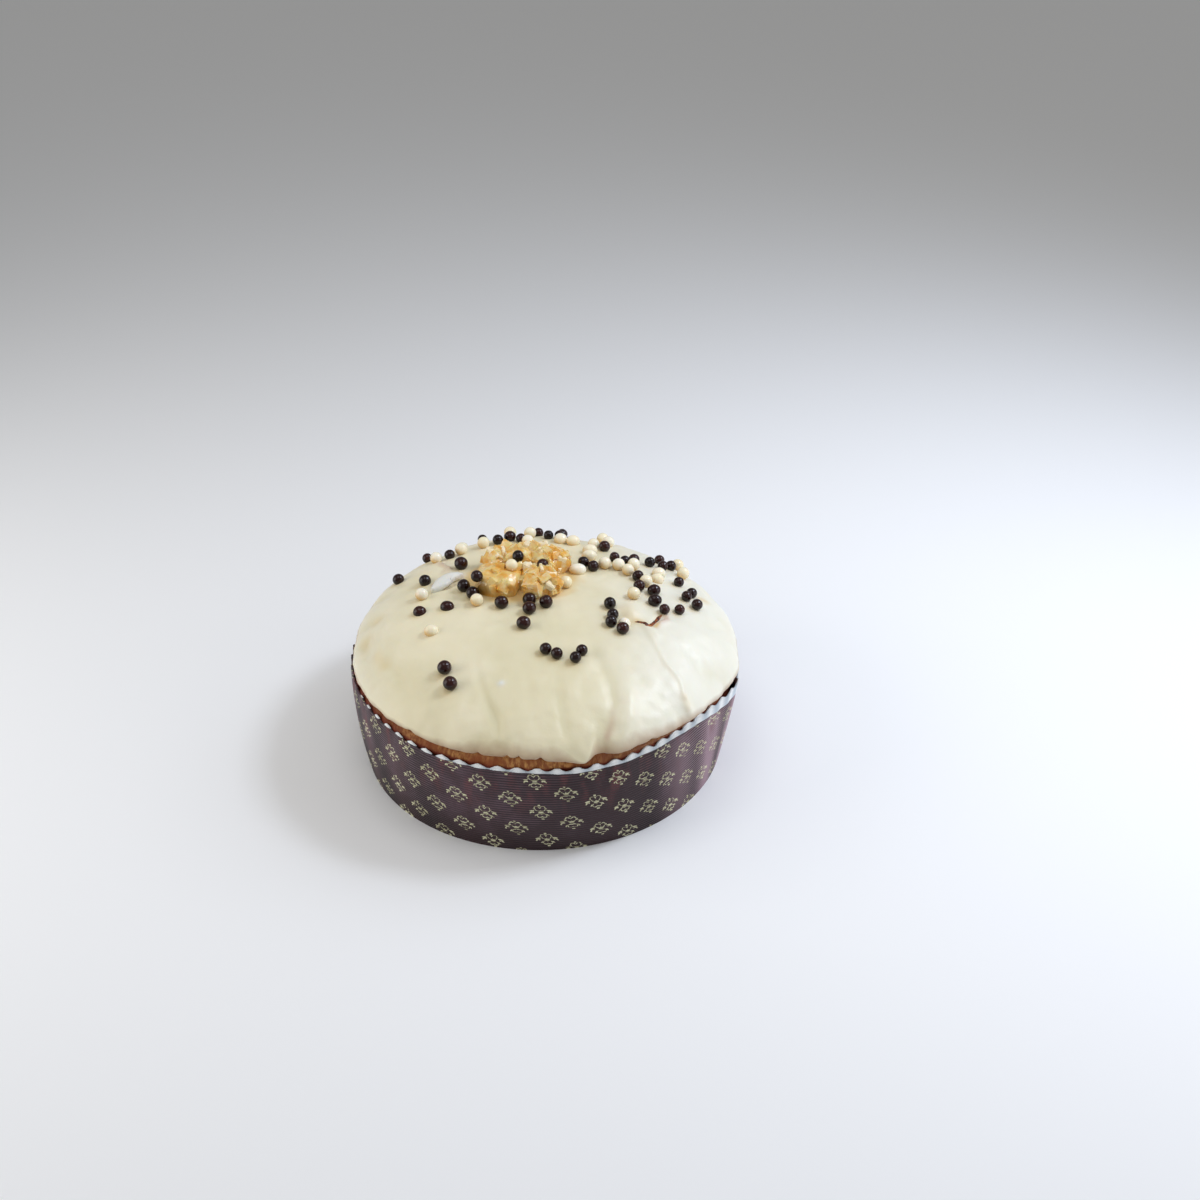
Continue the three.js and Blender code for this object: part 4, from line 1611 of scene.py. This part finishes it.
    def places(self) -> dict[Chocolate, list[tuple[float, float, Run]]]:
        """Lets the pearls settle.

        Returns:
            The x, y and run of the pearls of each kind that lie on the coating.
        """
        laid: list[list[float]] = []
        kinds: list[tuple[Chocolate, Run]] = []
        for kind in Chocolate:
            for run in self.runs[kind]:
                size = self.sizes[kind] * run.size
                for i in range(run.count):
                    step, way = i * size * self.pitch, math.radians(run.heading)
                    laid.append([run.x + step * math.cos(way), run.y + step * math.sin(way), size])
                    kinds.append((kind, run))
        for _ in range(self.rounds):
            for i, place in enumerate(laid):
                for other in laid[:i]:
                    self._push(place, other[0], other[1], (place[2] + other[2]) / 2)
                for chunk in PEAR_CHUNKS:
                    room = (chunk.length + chunk.width + place[2]) / 2 + self.gap
                    self._push(place, chunk.x, chunk.y, room)
        return {
            kind: [(p[0], p[1], run) for p, (k, run) in zip(laid, kinds) if k is kind]
            for kind in Chocolate
        }

    def _push(self, place: list[float], x: float, y: float, distance: float) -> None:
        """Moves a place straight away from a point until it is clear of it.

        Args:
            place: The place's x, y and size, which is changed.
            x: The point along X.
            y: The point along Y.
            distance: How far apart they must be.
        """
        apart = math.hypot(place[0] - x, place[1] - y)
        push = max(0.0, distance - apart) / apart
        place[0] += (place[0] - x) * push
        place[1] += (place[1] - y) * push

    def _add_pearl(
        self, bm: bmesh.types.BMesh, middle: Vector, radius: float, wide: float, draw: random.Random
    ) -> None:
        """Adds one slightly uneven pearl.

        Args:
            bm: The mesh of all pearls of this kind, with its layers.
            middle: Where its middle is.
            radius: Its radius.
            wide: How much wider than high it is.
            draw: The source of its unevenness.
        """
        spin = Matrix.Rotation(draw.uniform(0, math.pi), 4, "Z")
        tip = Matrix.Rotation(draw.uniform(0, math.pi), 4, "X")
        stretch = Matrix.Diagonal([draw.uniform(self.slimmest, 1.0) for _ in range(3)] + [1.0])
        spread = Matrix.Diagonal([wide, 1.0, 1.0, 1.0])
        place = Matrix.Translation(middle) @ spread @ spin @ tip @ stretch
        made = bmesh.ops.create_icosphere(bm, subdivisions=3, radius=radius, matrix=place)
        tone = bm.verts.layers.float["tone"]
        foot = bm.verts.layers.float["foot"]
        shade = draw.uniform(0.0, 1.0)
        for vert in made["verts"]:
            out = (vert.co - middle).normalized()
            # The foot layer holds the painted shade on each pearl's lower-left side
            low = (out.dot(Vector(self.painted_shade_side)) - self.painted_shade_from) / self.painted_shade_fade
            bump = noise.noise(vert.co / (radius * self.dimple_size)) * self.roughness * radius
            vert.co += out * bump
            vert[tone] = shade
            vert[foot] = np.clip(low, 0.0, 1.0)


def sliver(
    crown: CrownForm,
    line: Array,
    thick: float,
    lift: float,
    wander: float,
    wander_size: float = 2.4,
    steps: int = 40,
    sides: int = 12,
) -> tuple[Mesh, Array]:
    """Builds a lens-shaped sliver that follows the coating.

    Args:
        crown: The coated dome.
        line: The sliver's x, y and half width in mm, one corner to a row.
        thick: Its half thickness.
        lift: How far its middle lies out of the coating.
        wander: How far it wanders sideways.
        wander_size: How far apart the turns of the wander are, in mm.
        steps: Faces along it.
        sides: Faces round it.

    Returns:
        The mesh, and each corner's share of the way along it.
    """
    mesh, share, turn = flat_grid(steps, sides)
    index = np.rint(share * steps).astype(int)
    at = np.linspace(0, len(line) - 1, steps + 1)
    path = np.stack([np.interp(at, range(len(line)), line[:, i]) for i in range(3)], axis=-1)
    middle = np.array([crown.over(x, y, lift) for x, y, _ in path])
    up = np.array([crown.up_from(x, y) for x, y, _ in path])
    side = np.cross(np.gradient(middle, axis=0), up)
    side = side / np.linalg.norm(side, axis=1, keepdims=True)
    full = np.minimum(1.0, path[:, 2] * 2)
    off = unevenness(middle, wander_size, 2, 21.0) * wander * full
    middle = middle + side * off[:, None]
    angle = 2 * np.pi * turn
    wide = (path[:, 2][index] * np.cos(angle))[:, None]
    deep = (thick * full[index] * np.sin(angle))[:, None]
    move_corners(mesh, middle[index] + side[index] * wide + up[index] * deep)
    return mesh, share


@dataclass
class Coating:
    """The poured coating: a shell over the dome with a rounded, uneven lower edge."""

    bench: Bench
    crown: CrownForm
    dark_pearls: list[tuple[float, float, Run]]
    thickness: float = 2.3
    around: int = 720
    outer_rows: int = 104
    lip_rows: int = 6
    inner_rows: int = 8
    fades: Ring = (
        (-180, 2.5), (-124, 2.5), (-115, 4), (-105, 6), (-84, 6.5), (-77, 1.5), (-72, 6), (-62, 7),
        (-50, 5), (-30, 3), (0, 3), (90, 5), (150, 4),
    )
    pear_middle: Pair = (-12.0, 20.0)
    pear_reach: Pair = (24.0, 31.0)
    pear_syrup: float = 0.7
    syrup_edge: Pair = (0.86, 1.12)
    syrup_wander: float = 0.12
    syrup_wander_size: float = 7.0
    # Painted contact shade to the lower left of each dark pearl: how strong, how wide and how far
    # off
    rub_and_contact_shade: float = 0.4
    contact_shade_size: float = 3.4
    contact_shade_shift: Pair = (-1.6, -1.8)
    flake: tuple[Triple, ...] = (
        (-57.8, 11.0, 0.0), (-55.6, 14.0, 3.0), (-52.8, 17.6, 4.6), (-50.0, 20.8, 4.6),
        (-47.2, 22.4, 3.0), (-44.4, 23.4, 2.2), (-41.4, 23.6, 0.0),
    )
    flake_thick: float = 2.4
    flake_lift: float = 0.7
    flake_wander: float = 0.3
    flake_bloom: float = 0.9
    unfaded: float = 2.0
    stains_and_shade: dict[Tint, tuple[Trace, ...]] = field(
        default_factory=lambda: {
            Tint.THIN: (
                Trace(1.6, ((63, -9, 0.6), (63.8, -13.2, 0.6), (60.2, -16.6, 0.55),
                            (57.6, -20.8, 0.4))),
                Trace(2.2, ((-58.3, 47.4, 0.35), (-54.8, 40.4, 0.5), (-50.7, 35.3, 0.5),
                            (-52.8, 30, 0.25))),
                Trace(1.4, ((7.1, 86.6, 0.5), (12.8, 86, 0.6), (18.7, 75.6, 0.4))),
                Trace(1.8, ((36.5, -73.7, 0.05), (35.5, -83.3, 0.3), (33.4, -88.4, 0.5))),
                Trace(1.2, ((-58, 19.4, 0.6), (-54, 23.4, 0.6), (-50, 27.2, 0.5),
                            (-46, 29.2, 0.4))),
                Trace(1.0, ((-56, 12.8, 0.2), (-50.6, 15.2, 0.35), (-46, 19.4, 0.3))),
            ),
            Tint.SYRUP_AND_SHADE: (
                Trace(2.6, ((49.5, -17.5, 0.55), (51.7, -19, 0.6))),
                Trace(1.3, ((57.6, -20.6, 0.8), (58.8, -18.4, 0.6))),
                Trace(3.0, ((83.5, 17, 0.5), (84.5, 18, 0.5))),
                Trace(1.5, ((52.4, -22.3, 0.05), (61.8, -46.2, 0.08), (70.2, -62.1, 0.1))),
                Trace(2.6, ((70.9, -63, 0.15), (71.9, -65.6, 0.2))),
                # Painted shade in the hollows and creases at the left
                Trace(3.4, ((-85.3, 1, 0.22), (-86.5, -2.5, 0.22))),
                Trace(3.4, ((-90.2, -13, 0.25), (-88.4, -20, 0.22))),
                Trace(3.0, ((-81.5, -31, 0.2), (-77, -39, 0.25))),
                Trace(5.0, ((42, -22, 0.2), (44, -17, 0.35), (42, -9, 0.2))),
            ),
            Tint.BLOOM: (
                Trace(3.0, ((-56.5, 16, 0.5), (-52.7, 19.3, 0.9), (-47, 25.2, 0.9),
                            (-43.5, 26, 0.6))),
                Trace(1.6, ((-17.4, -65.5, 0.9), (-17.0, -65.5, 0.9))),
            ),
        }
    )

    def build(self) -> None:
        """Builds the shell from the crown down outside, round the edge and up inside."""
        rows = self.outer_rows + self.lip_rows + self.inner_rows
        mesh, turn, row = flat_grid(self.around, rows)
        bearing = turn * 360.0
        index = np.rint(row * rows)
        lip = self.crown.lip(bearing)
        foot = self.crown.share_at(lip + self.thickness / 2)
        start = np.arccos(np.clip(foot, 0.0, 1.0))
        up = np.clip(1 - index / self.outer_rows, 0.0, 1.0)
        share = np.cos(mix(start, np.pi / 2, up))
        relief = self.crown.relief(bearing, share)
        way = self.crown.outward(bearing, share)
        points = self.crown.skin(bearing, share) + way * relief[:, None]
        lip_end = self.outer_rows + self.lip_rows
        rolled = self._edge(bearing, foot, (index - self.outer_rows) / self.lip_rows)
        points = np.where((index > self.outer_rows)[:, None], rolled, points)
        inward = np.clip((index - lip_end) / self.inner_rows, 0.0, 1.0)
        inner = self.crown.skin(bearing, np.cos(mix(start, np.pi / 2, inward)), self.thickness)
        points = np.where((index > lip_end)[:, None], inner, points)
        points[(index == 0) | (index == rows), :2] = 0.0
        # The relief also darkens the hollows in the finish: painted shade
        mark(mesh, "relief", relief)
        even_lip = ring_value(self.crown.lips, bearing)
        mark(mesh, "fade", (points[:, 2] - even_lip) / ring_value(self.fades, bearing))
        for tint in Tint:
            mark(mesh, tint.value, self._tinted(tint, points))
        move_corners(mesh, points)
        self._settle_poles(mesh)
        weld(mesh)
        finish = PouredIvory(self.bench.centre).material()
        self.bench.put("coating_shell", mesh, finish, Slot.COATING, ("coating",))
        line = np.array(self.flake)
        form = (self.flake_thick, self.flake_lift, self.flake_wander)
        flake, along = sliver(self.crown, line, *form)
        mark(flake, "fade", np.full_like(along, self.unfaded))
        mark(flake, Tint.BLOOM.value, np.full_like(along, self.flake_bloom))
        weld(flake)
        self.bench.put("loose_flake", flake, finish, Slot.COATING, ("coating",))

    def _edge(self, bearing: Array, foot: Array, share: Array) -> Array:
        """Rolls the coating's lower edge round.

        Args:
            bearing: Bearings in degrees.
            foot: Shares of the reach where the edge begins.
            share: Shares of the way round it.

        Returns:
            The points, one to a row.
        """
        thick = self.thickness / 2
        edge = self.crown.coated(bearing, foot)
        radius = np.hypot(edge[:, 0], edge[:, 1]) - thick
        angle = np.pi * np.clip(share, 0.0, 1.0)
        return polar(bearing, radius + thick * np.cos(angle), edge[:, 2] - thick * np.sin(angle))

    def _tinted(self, tint: Tint, points: Array) -> Array:
        """Finds how strong a tint is.

        Args:
            tint: The tint.
            points: Places on the coating, one to a row.

        Returns:
            Shares from 0 to 1.
        """
        total = sum(stain_and_shade.over(points) for stain_and_shade in self.stains_and_shade[tint])
        if tint is Tint.SYRUP_AND_SHADE:
            across = (points[:, 0] - self.pear_middle[0]) / self.pear_reach[1]
            along = (points[:, 1] - self.pear_middle[1]) / self.pear_reach[0]
            wander = unevenness(points, self.syrup_wander_size, 2, 9.0) * self.syrup_wander
            away = np.hypot(across, along) + wander
            total = total + self.pear_syrup * (1 - smooth(away, *self.syrup_edge))
            # Warm painted shade to the lower left of each dark pearl
            for x, y, _ in self.dark_pearls:
                shift_x, shift_y = self.contact_shade_shift
                away = np.hypot(points[:, 0] - x - shift_x, points[:, 1] - y - shift_y)
                total = np.maximum(total, self.rub_and_contact_shade * hump(away / self.contact_shade_size))
        return np.clip(total, 0.0, 1.0)

    def _settle_poles(self, mesh: Mesh) -> None:
        """Puts all corners at the crown at one height, outside and inside, to be welded.

        Args:
            mesh: The shell.
        """
        corners = corners_of(mesh)
        middle = np.hypot(corners[:, 0], corners[:, 1]) < 1e-6
        split = self.crown.spring + self.crown.rise - self.thickness / 2
        for high in (True, False):
            mask = middle & ((corners[:, 2] > split) == high)
            corners[mask, 2] = corners[mask, 2].mean()
        move_corners(mesh, corners)


@dataclass
class Tears:
    """Short tears in the coating with the crust showing in them."""

    bench: Bench
    crown: CrownForm
    lines: tuple[tuple[Triple, ...], ...] = (
        ((61.4, -7.9, 0.0), (59.6, -11.6, 1.4), (57.9, -15.0, 1.7), (56.2, -18.4, 1.8),
         (54.2, -21.6, 0.0)),
        ((55.6, -21.6, 0.0), (53.4, -21.3, 1.2), (51.4, -20.1, 0.9), (49.4, -18.8, 0.8),
         (47.2, -18.0, 0.0)),
        ((6.0, 86.8, 0.0), (10.0, 86.3, 0.6), (13.0, 85.4, 0.6), (16.0, 80.6, 0.5),
         (18.9, 75.4, 0.0)),
    )
    thick: float = 0.6
    lift: float = 0.1
    wander: float = 0.6
    ends: Pair = (0.28, 0.46)

    def build(self) -> None:
        """Builds the tears as one piece."""
        bm = bmesh.new()
        for line in self.lines:
            part, share = sliver(self.crown, np.array(line), self.thick, self.lift, self.wander)
            mark(part, "end", smooth(np.abs(share - 0.5), *self.ends))
            weld(part)
            bm.from_mesh(part)
            bpy.data.meshes.remove(part)
        finish = TornCrust(self.bench.centre).material()
        self.bench.put("crust_in_tears", finished(bm, "tears"), finish, Slot.COATING, ("coating",))


@dataclass(frozen=True)
class SugarBlock:
    """A large clear crystal or sugar cube on the pear, in mm and degrees."""

    node: str
    middle: Triple
    size: Triple
    turn: float
    tip: float = 0.0


@dataclass
class CandiedPear:
    """Chunks of candied pear under coarse sugar, with larger crystals standing on them."""

    bench: Bench
    crown: CrownForm
    sink: float = 3.3
    squareness: float = 4.0
    crag: float = 0.9
    waves: Pair = (5.0, 4.0)
    cut_depth: Pair = (0.78, 0.94)
    cut_rise: Pair = (-0.1, 1.4)
    frost_size: float = 5.0
    frost_edge: Pair = (-0.35, 0.25)
    lumps: float = 0.15
    lump_size: float = 4.0
    shard_size: Pair = (3.2, 7.5)
    shard_sink: Pair = (0.4, 0.8)
    shard_tip: Pair = (-0.35, 0.35)
    fineness: int = 6
    grain_size: Pair = (0.6, 1.5)
    grain_stretch: Pair = (0.7, 1.3)
    grain_tip: Pair = (-0.9, 0.9)
    grain_shades: Pair = (0.3, 1.0)
    grains_from: float = -3.0
    steepest: float = -0.1
    block_shade: float = 0.9
    cut_corners_from: float = 1.5
    corner_cut: float = 0.2
    pear_edge: float = 22.0
    sugar_edge: float = 20.0
    brown_patch_middle: Triple = (-32.0, 5.0, 88.5)
    brown_patch_reach: Triple = (10.0, 7.0, 5.5)
    brown_patch_edge: Pair = (0.5, 1.1)
    brown_patch_depth: float = 0.8
    seed: int = 11
    blocks: tuple[SugarBlock, ...] = (
        SugarBlock("pear_chunk_1", (-7.6, 17.2, 93.6), (5.5, 4.5, 4.5), 25, 20),
        SugarBlock("pear_chunk_1", (-0.6, 12.2, 95.0), (1.6, 6.5, 4.0), 10, 15),
        SugarBlock("pear_chunk_1", (4.6, 10.6, 93.4), (5.0, 4.5, 3.0), 40, 12),
        SugarBlock("pear_chunk_1", (4.2, 2.6, 91.0), (5.5, 4.0, 3.6), -18, 28),
        SugarBlock("pear_chunk_3", (9.6, 27.6, 92.6), (5.0, 4.5, 3.5), 15, 24),
        SugarBlock("pear_chunk_3", (-0.5, 40.0, 93.4), (6.0, 4.2, 3.4), 8, -14),
        SugarBlock("pear_chunk_4", (-8.2, 38.0, 93.8), (5.2, 4.8, 4.8), 30, 18),
        SugarBlock("pear_chunk_5", (-28.6, 35.4, 91.4), (2.4, 7.5, 4.0), 22, 14),
        SugarBlock("pear_chunk_5", (-25.2, 31.4, 92.4), (2.2, 8.0, 4.0), 28, -10),
        SugarBlock("pear_chunk_5", (-21.4, 34.4, 92.4), (2.4, 7.0, 4.0), 18, 12),
    )

    def build(self) -> None:
        """Builds each chunk, then its sugar."""
        fruit = CandiedFruit(self.bench.centre).material()
        sugar = SugarCrystal(self.bench.centre).material()
        draw = random.Random(self.seed)
        for chunk in PEAR_CHUNKS:
            mesh = self._chunk(chunk, draw)
            grains = self._grains(chunk, mesh, draw)
            on = (Slot.PEAR, (chunk.node,))
            self.bench.put(f"candied_{chunk.node}", mesh, fruit, *on, self.pear_edge)
            self.bench.put(f"sugar_on_{chunk.node}", grains, sugar, *on, self.sugar_edge)

    def _foot(self, chunk: PearChunk) -> float:
        """Finds how high a chunk lies.

        Args:
            chunk: The chunk's sizes.

        Returns:
            The height of its middle, in mm.
        """
        bearing, share = self.crown.spot(chunk.x, chunk.y)
        lift = self.crown.main_relief(bearing, share)
        point = self.crown.skin(bearing, share) + self.crown.outward(bearing, share) * lift[:, None]
        return float(point[0, 2]) + chunk.height - self.sink

    def _chunk(self, chunk: PearChunk, draw: random.Random) -> Mesh:
        """Builds one chunk: a block with angular pieces standing out of it.

        Args:
            chunk: The chunk's sizes.
            draw: The source of its cuts and pieces.

        Returns:
            The mesh, with how sugared each corner is and how much of the darker brown patch it has.
        """
        bm = bmesh.new()
        bmesh.ops.create_icosphere(bm, subdivisions=self.fineness, radius=1.0)
        mesh = finished(bm, "chunk")
        points = self._block(chunk, corners_of(mesh), draw)
        middle = np.array([chunk.x, chunk.y, self._foot(chunk)])
        patches = unevenness(points + middle, self.frost_size, 2, 13.0)
        sugar = chunk.frost * smooth(patches, *self.frost_edge)
        points, sugar = self._with_shards(chunk, points, sugar, draw)
        out = points / np.linalg.norm(points, axis=1, keepdims=True)
        points = points + middle
        points = points + out * (unevenness(points, self.lump_size, 3, 12.0) * self.lumps)[:, None]
        move_corners(mesh, points)
        mark(mesh, "sugar", sugar)
        offset = (points - np.array(self.brown_patch_middle)) / np.array(self.brown_patch_reach)
        away = smooth(np.linalg.norm(offset, axis=1), *self.brown_patch_edge)
        mark(mesh, "brown_patch", self.brown_patch_depth * (1 - away))
        return mesh

    def _block(self, chunk: PearChunk, unit: Array, draw: random.Random) -> Array:
        """Turns a ball into a rounded block with uneven sides and flat cuts.

        Args:
            chunk: The chunk's sizes.
            unit: The corners of a ball of radius 1.
            draw: The source of its cuts.

        Returns:
            The block's corners about its middle.
        """
        power = np.sum(np.abs(unit) ** self.squareness, axis=1) ** (1 / self.squareness)
        unit = unit / power[:, None]
        along = np.sin(self.waves[0] * unit[:, 0] + chunk.x)
        across = np.sin(self.waves[1] * unit[:, 1] + chunk.y)
        crag = self.crag * along * across
        sizes = np.array([chunk.length, chunk.width, chunk.height])
        points = unit * (sizes[None, :] + crag[:, None])
        for _ in range(chunk.cuts):
            way = (draw.gauss(0, 1), draw.gauss(0, 1), draw.uniform(*self.cut_rise))
            normal = np.array(Vector(way).normalized())
            reach = points @ normal
            limit = reach.max() * draw.uniform(*self.cut_depth)
            points = points - normal[None, :] * np.maximum(0.0, reach - limit)[:, None]
        turn = math.radians(chunk.turn)
        spin = np.array([[math.cos(turn), -math.sin(turn)], [math.sin(turn), math.cos(turn)]])
        points[:, :2] = points[:, :2] @ spin.T
        return points

    def _with_shards(
        self, chunk: PearChunk, points: Array, sugar: Array, draw: random.Random
    ) -> tuple[Array, Array]:
        """Lets angular pieces stick out of a chunk, as far as each ray from its middle reaches.

        Args:
            chunk: The chunk's sizes.
            points: The chunk's corners about its middle.
            sugar: How sugared each is.
            draw: The source of the pieces' shapes.

        Returns:
            The moved corners, and how sugared they are.
        """
        reach = np.linalg.norm(points, axis=1)
        way = points / reach[:, None]
        upper = np.flatnonzero(way[:, 2] > 0.0)
        for _ in range(chunk.shards):
            spot = upper[draw.randrange(len(upper))]
            half = np.array([draw.uniform(*self.shard_size) / 2 for _ in range(3)])
            lie = Vector(way[spot]).to_track_quat("Z", "Y").to_matrix()
            spin = Matrix.Rotation(draw.uniform(0, math.tau), 3, "Z")
            tip = Matrix.Rotation(draw.uniform(*self.shard_tip), 3, "X")
            axes = np.array(lie @ spin @ tip)
            middle = way[spot] * (reach[spot] - half[2] * draw.uniform(*self.shard_sink))
            run = way @ axes
            run = np.where(np.abs(run) < 1e-9, 1e-9, run)
            low = (middle @ axes - half) / run
            high = (middle @ axes + half) / run
            enters = np.minimum(low, high).max(axis=1)
            leaves = np.maximum(low, high).min(axis=1)
            out = (enters < leaves) & (enters < reach) & (leaves > reach)
            reach = np.where(out, leaves, reach)
            sugar = np.where(out, chunk.frost * draw.uniform(0.0, 1.0), sugar)
        return way * reach[:, None], sugar

    def _grains(self, chunk: PearChunk, mesh: Mesh, draw: random.Random) -> Mesh:
        """Sugar on a chunk: small crystals scattered over it and a few large ones.

        Args:
            chunk: The chunk's sizes.
            mesh: Its mesh.
            draw: The source of the scatter.

        Returns:
            The mesh of all its crystals.
        """
        bm = bmesh.new()
        tone = bm.verts.layers.float.new("tone")
        foot = self._foot(chunk) + self.grains_from
        spots = [v for v in mesh.vertices if v.normal.z > self.steepest and v.co.z > foot]
        for spot in draw.sample(spots, chunk.grains):
            size = draw.uniform(*self.grain_size)
            shape = [size * draw.uniform(*self.grain_stretch) for _ in range(3)]
            turn = Matrix.Rotation(draw.uniform(0, math.tau), 4, Vector(spot.normal))
            tip = Matrix.Rotation(draw.uniform(*self.grain_tip), 4, "X")
            shade = draw.uniform(*self.grain_shades)
            self._add_crystal(bm, tone, spot.co, turn @ tip, shape, shade)
        for block in self.blocks:
            if block.node == chunk.node:
                turn = Matrix.Rotation(math.radians(block.turn), 4, "Z")
                tip = Matrix.Rotation(math.radians(block.tip), 4, "Y")
                middle = Vector(block.middle)
                self._add_crystal(bm, tone, middle, turn @ tip, block.size, self.block_shade)
        return finished(bm, "sugar")

    def _add_crystal(
        self,
        bm: bmesh.types.BMesh,
        tone: bmesh.types.BMLayerItem,
        middle: Vector,
        turn: Matrix,
        size: Sequence[float],
        shade: float,
    ) -> None:
        """Adds one crystal: a block, with its edges cut off if it is large.

        Args:
            bm: The mesh of the crystals.
            tone: The layer that holds each crystal's shade.
            middle: Where its middle is.
            turn: How it lies.
            size: Its three sizes.
            shade: From 0, amber, to 1, white.
        """
        place = Matrix.Translation(middle) @ turn @ Matrix.Diagonal([*size, 1.0])
        made = bmesh.ops.create_cube(bm, size=1.0, matrix=place)
        for vert in made["verts"]:
            vert[tone] = shade
        edges = list({edge for vert in made["verts"] for edge in vert.link_edges})
        if min(size) > self.cut_corners_from:
            cut = min(size) * self.corner_cut
            bmesh.ops.bevel(
                bm, geom=edges, offset=cut, affect="EDGES", segments=1, profile=0.5, material=-1
            )


@dataclass(frozen=True)
class Lamp:
    """A square light: its place in mm, its side in metres, its power in watts and its colour."""

    name: str
    place: Triple
    size: float
    power: float
    colour: str


@dataclass
class Studio:
    """The camera, the floor and the lights."""

    centre: Vector
    camera_place: Triple = (29.9, -608.0, 466.0)
    camera_down: float = 32.14
    lens: float = 42.0
    sensor: float = 36.0
    floor_reach: float = 6.0
    aim_height: float = 50.0
    sky: float = 0.31
    lamps: tuple[Lamp, ...] = (
        Lamp("key", (520, 260, 620), 0.42, 1.5, "#dfeaff"),
        Lamp("glint", (440, 60, 640), 0.15, 1.7, "#e8f0ff"),
        Lamp("top", (-80, -80, 760), 0.4, 0.9, "#fbfbff"),
        Lamp("left_fill", (-700, -120, 300), 0.6, 2.3, "#fdfbfa"),
        Lamp("right_fill", (720, -160, 240), 0.6, 1.6, "#f2f5ff"),
    )

    def set_camera(self) -> None:
        """Puts the camera where the picture was taken from."""
        data = bpy.data.cameras.new("camera")
        data.lens = self.lens
        data.sensor_width = self.sensor
        data.clip_start = 0.01
        camera = bpy.data.objects.new("camera", data)
        camera.location = self.centre + Vector(self.camera_place) * MM
        camera.rotation_euler = (math.radians(90.0 - self.camera_down), 0.0, 0.0)
        bpy.context.scene.collection.objects.link(camera)
        bpy.context.scene.camera = camera

    def set_floor(self) -> None:
        """Lays a plain pale floor."""
        bm = bmesh.new()
        bmesh.ops.create_grid(bm, x_segments=1, y_segments=1, size=self.floor_reach)
        mesh = finished(bm, "floor")
        material = bpy.data.materials.new("pale_floor")
        material.use_nodes = True
        shader = material.node_tree.nodes["Principled BSDF"]
        shader.inputs["Base Color"].default_value = linear("#f7f7f6")
        shader.inputs["Roughness"].default_value = 0.9
        mesh.materials.append(material)
        floor = bpy.data.objects.new("floor", mesh)
        bpy.context.scene.collection.objects.link(floor)

    def set_lights(self) -> None:
        """Hangs a key behind at the right, a small lamp for highlights, one above, and fills."""
        for lamp in self.lamps:
            self._hang(lamp)
        world = bpy.data.worlds.new("sky")
        world.use_nodes = True
        background = world.node_tree.nodes["Background"]
        background.inputs["Color"].default_value = linear("#ffffff")
        background.inputs["Strength"].default_value = self.sky
        bpy.context.scene.world = world
        bpy.context.scene.view_settings.view_transform = "Standard"

    def _hang(self, lamp: Lamp) -> None:
        """Hangs one lamp so that it faces the loaf.

        Args:
            lamp: The lamp, with its place about the middle of the base.
        """
        data = bpy.data.lights.new(lamp.name, "AREA")
        data.size = lamp.size
        data.energy = lamp.power
        data.color = linear(lamp.colour)[:3]
        light = bpy.data.objects.new(lamp.name, data)
        light.location = self.centre + Vector(lamp.place) * MM
        aim = self.centre + Vector((0.0, 0.0, self.aim_height)) * MM - light.location
        light.rotation_euler = aim.to_track_quat("-Z", "Y").to_euler()
        bpy.context.scene.collection.objects.link(light)


def main() -> None:
    """Builds the picture piece by piece."""
    low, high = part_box("case_base")
    centre = Vector(((low.x + high.x) / 2, (low.y + high.y) / 2, 0.0))
    wall_and_gap = 1.1
    base_radius = (high.x - low.x) / 2 / MM + wall_and_gap
    studio = Studio(centre)
    studio.set_camera()
    bench = Bench(centre)
    case = CaseForm(base_radius=base_radius)
    crown = CrownForm(case=case)
    pearls = Pearls(bench, crown)
    PaperCase(bench, case).build()
    Loaf(bench, case, crown).build()
    Coating(bench, crown, pearls.places()[Chocolate.DARK]).build()
    Tears(bench, crown).build()
    pearls.build()
    CandiedPear(bench, crown).build()
    studio.set_floor()
    studio.set_lights()


if __name__ == "__main__":
    main()
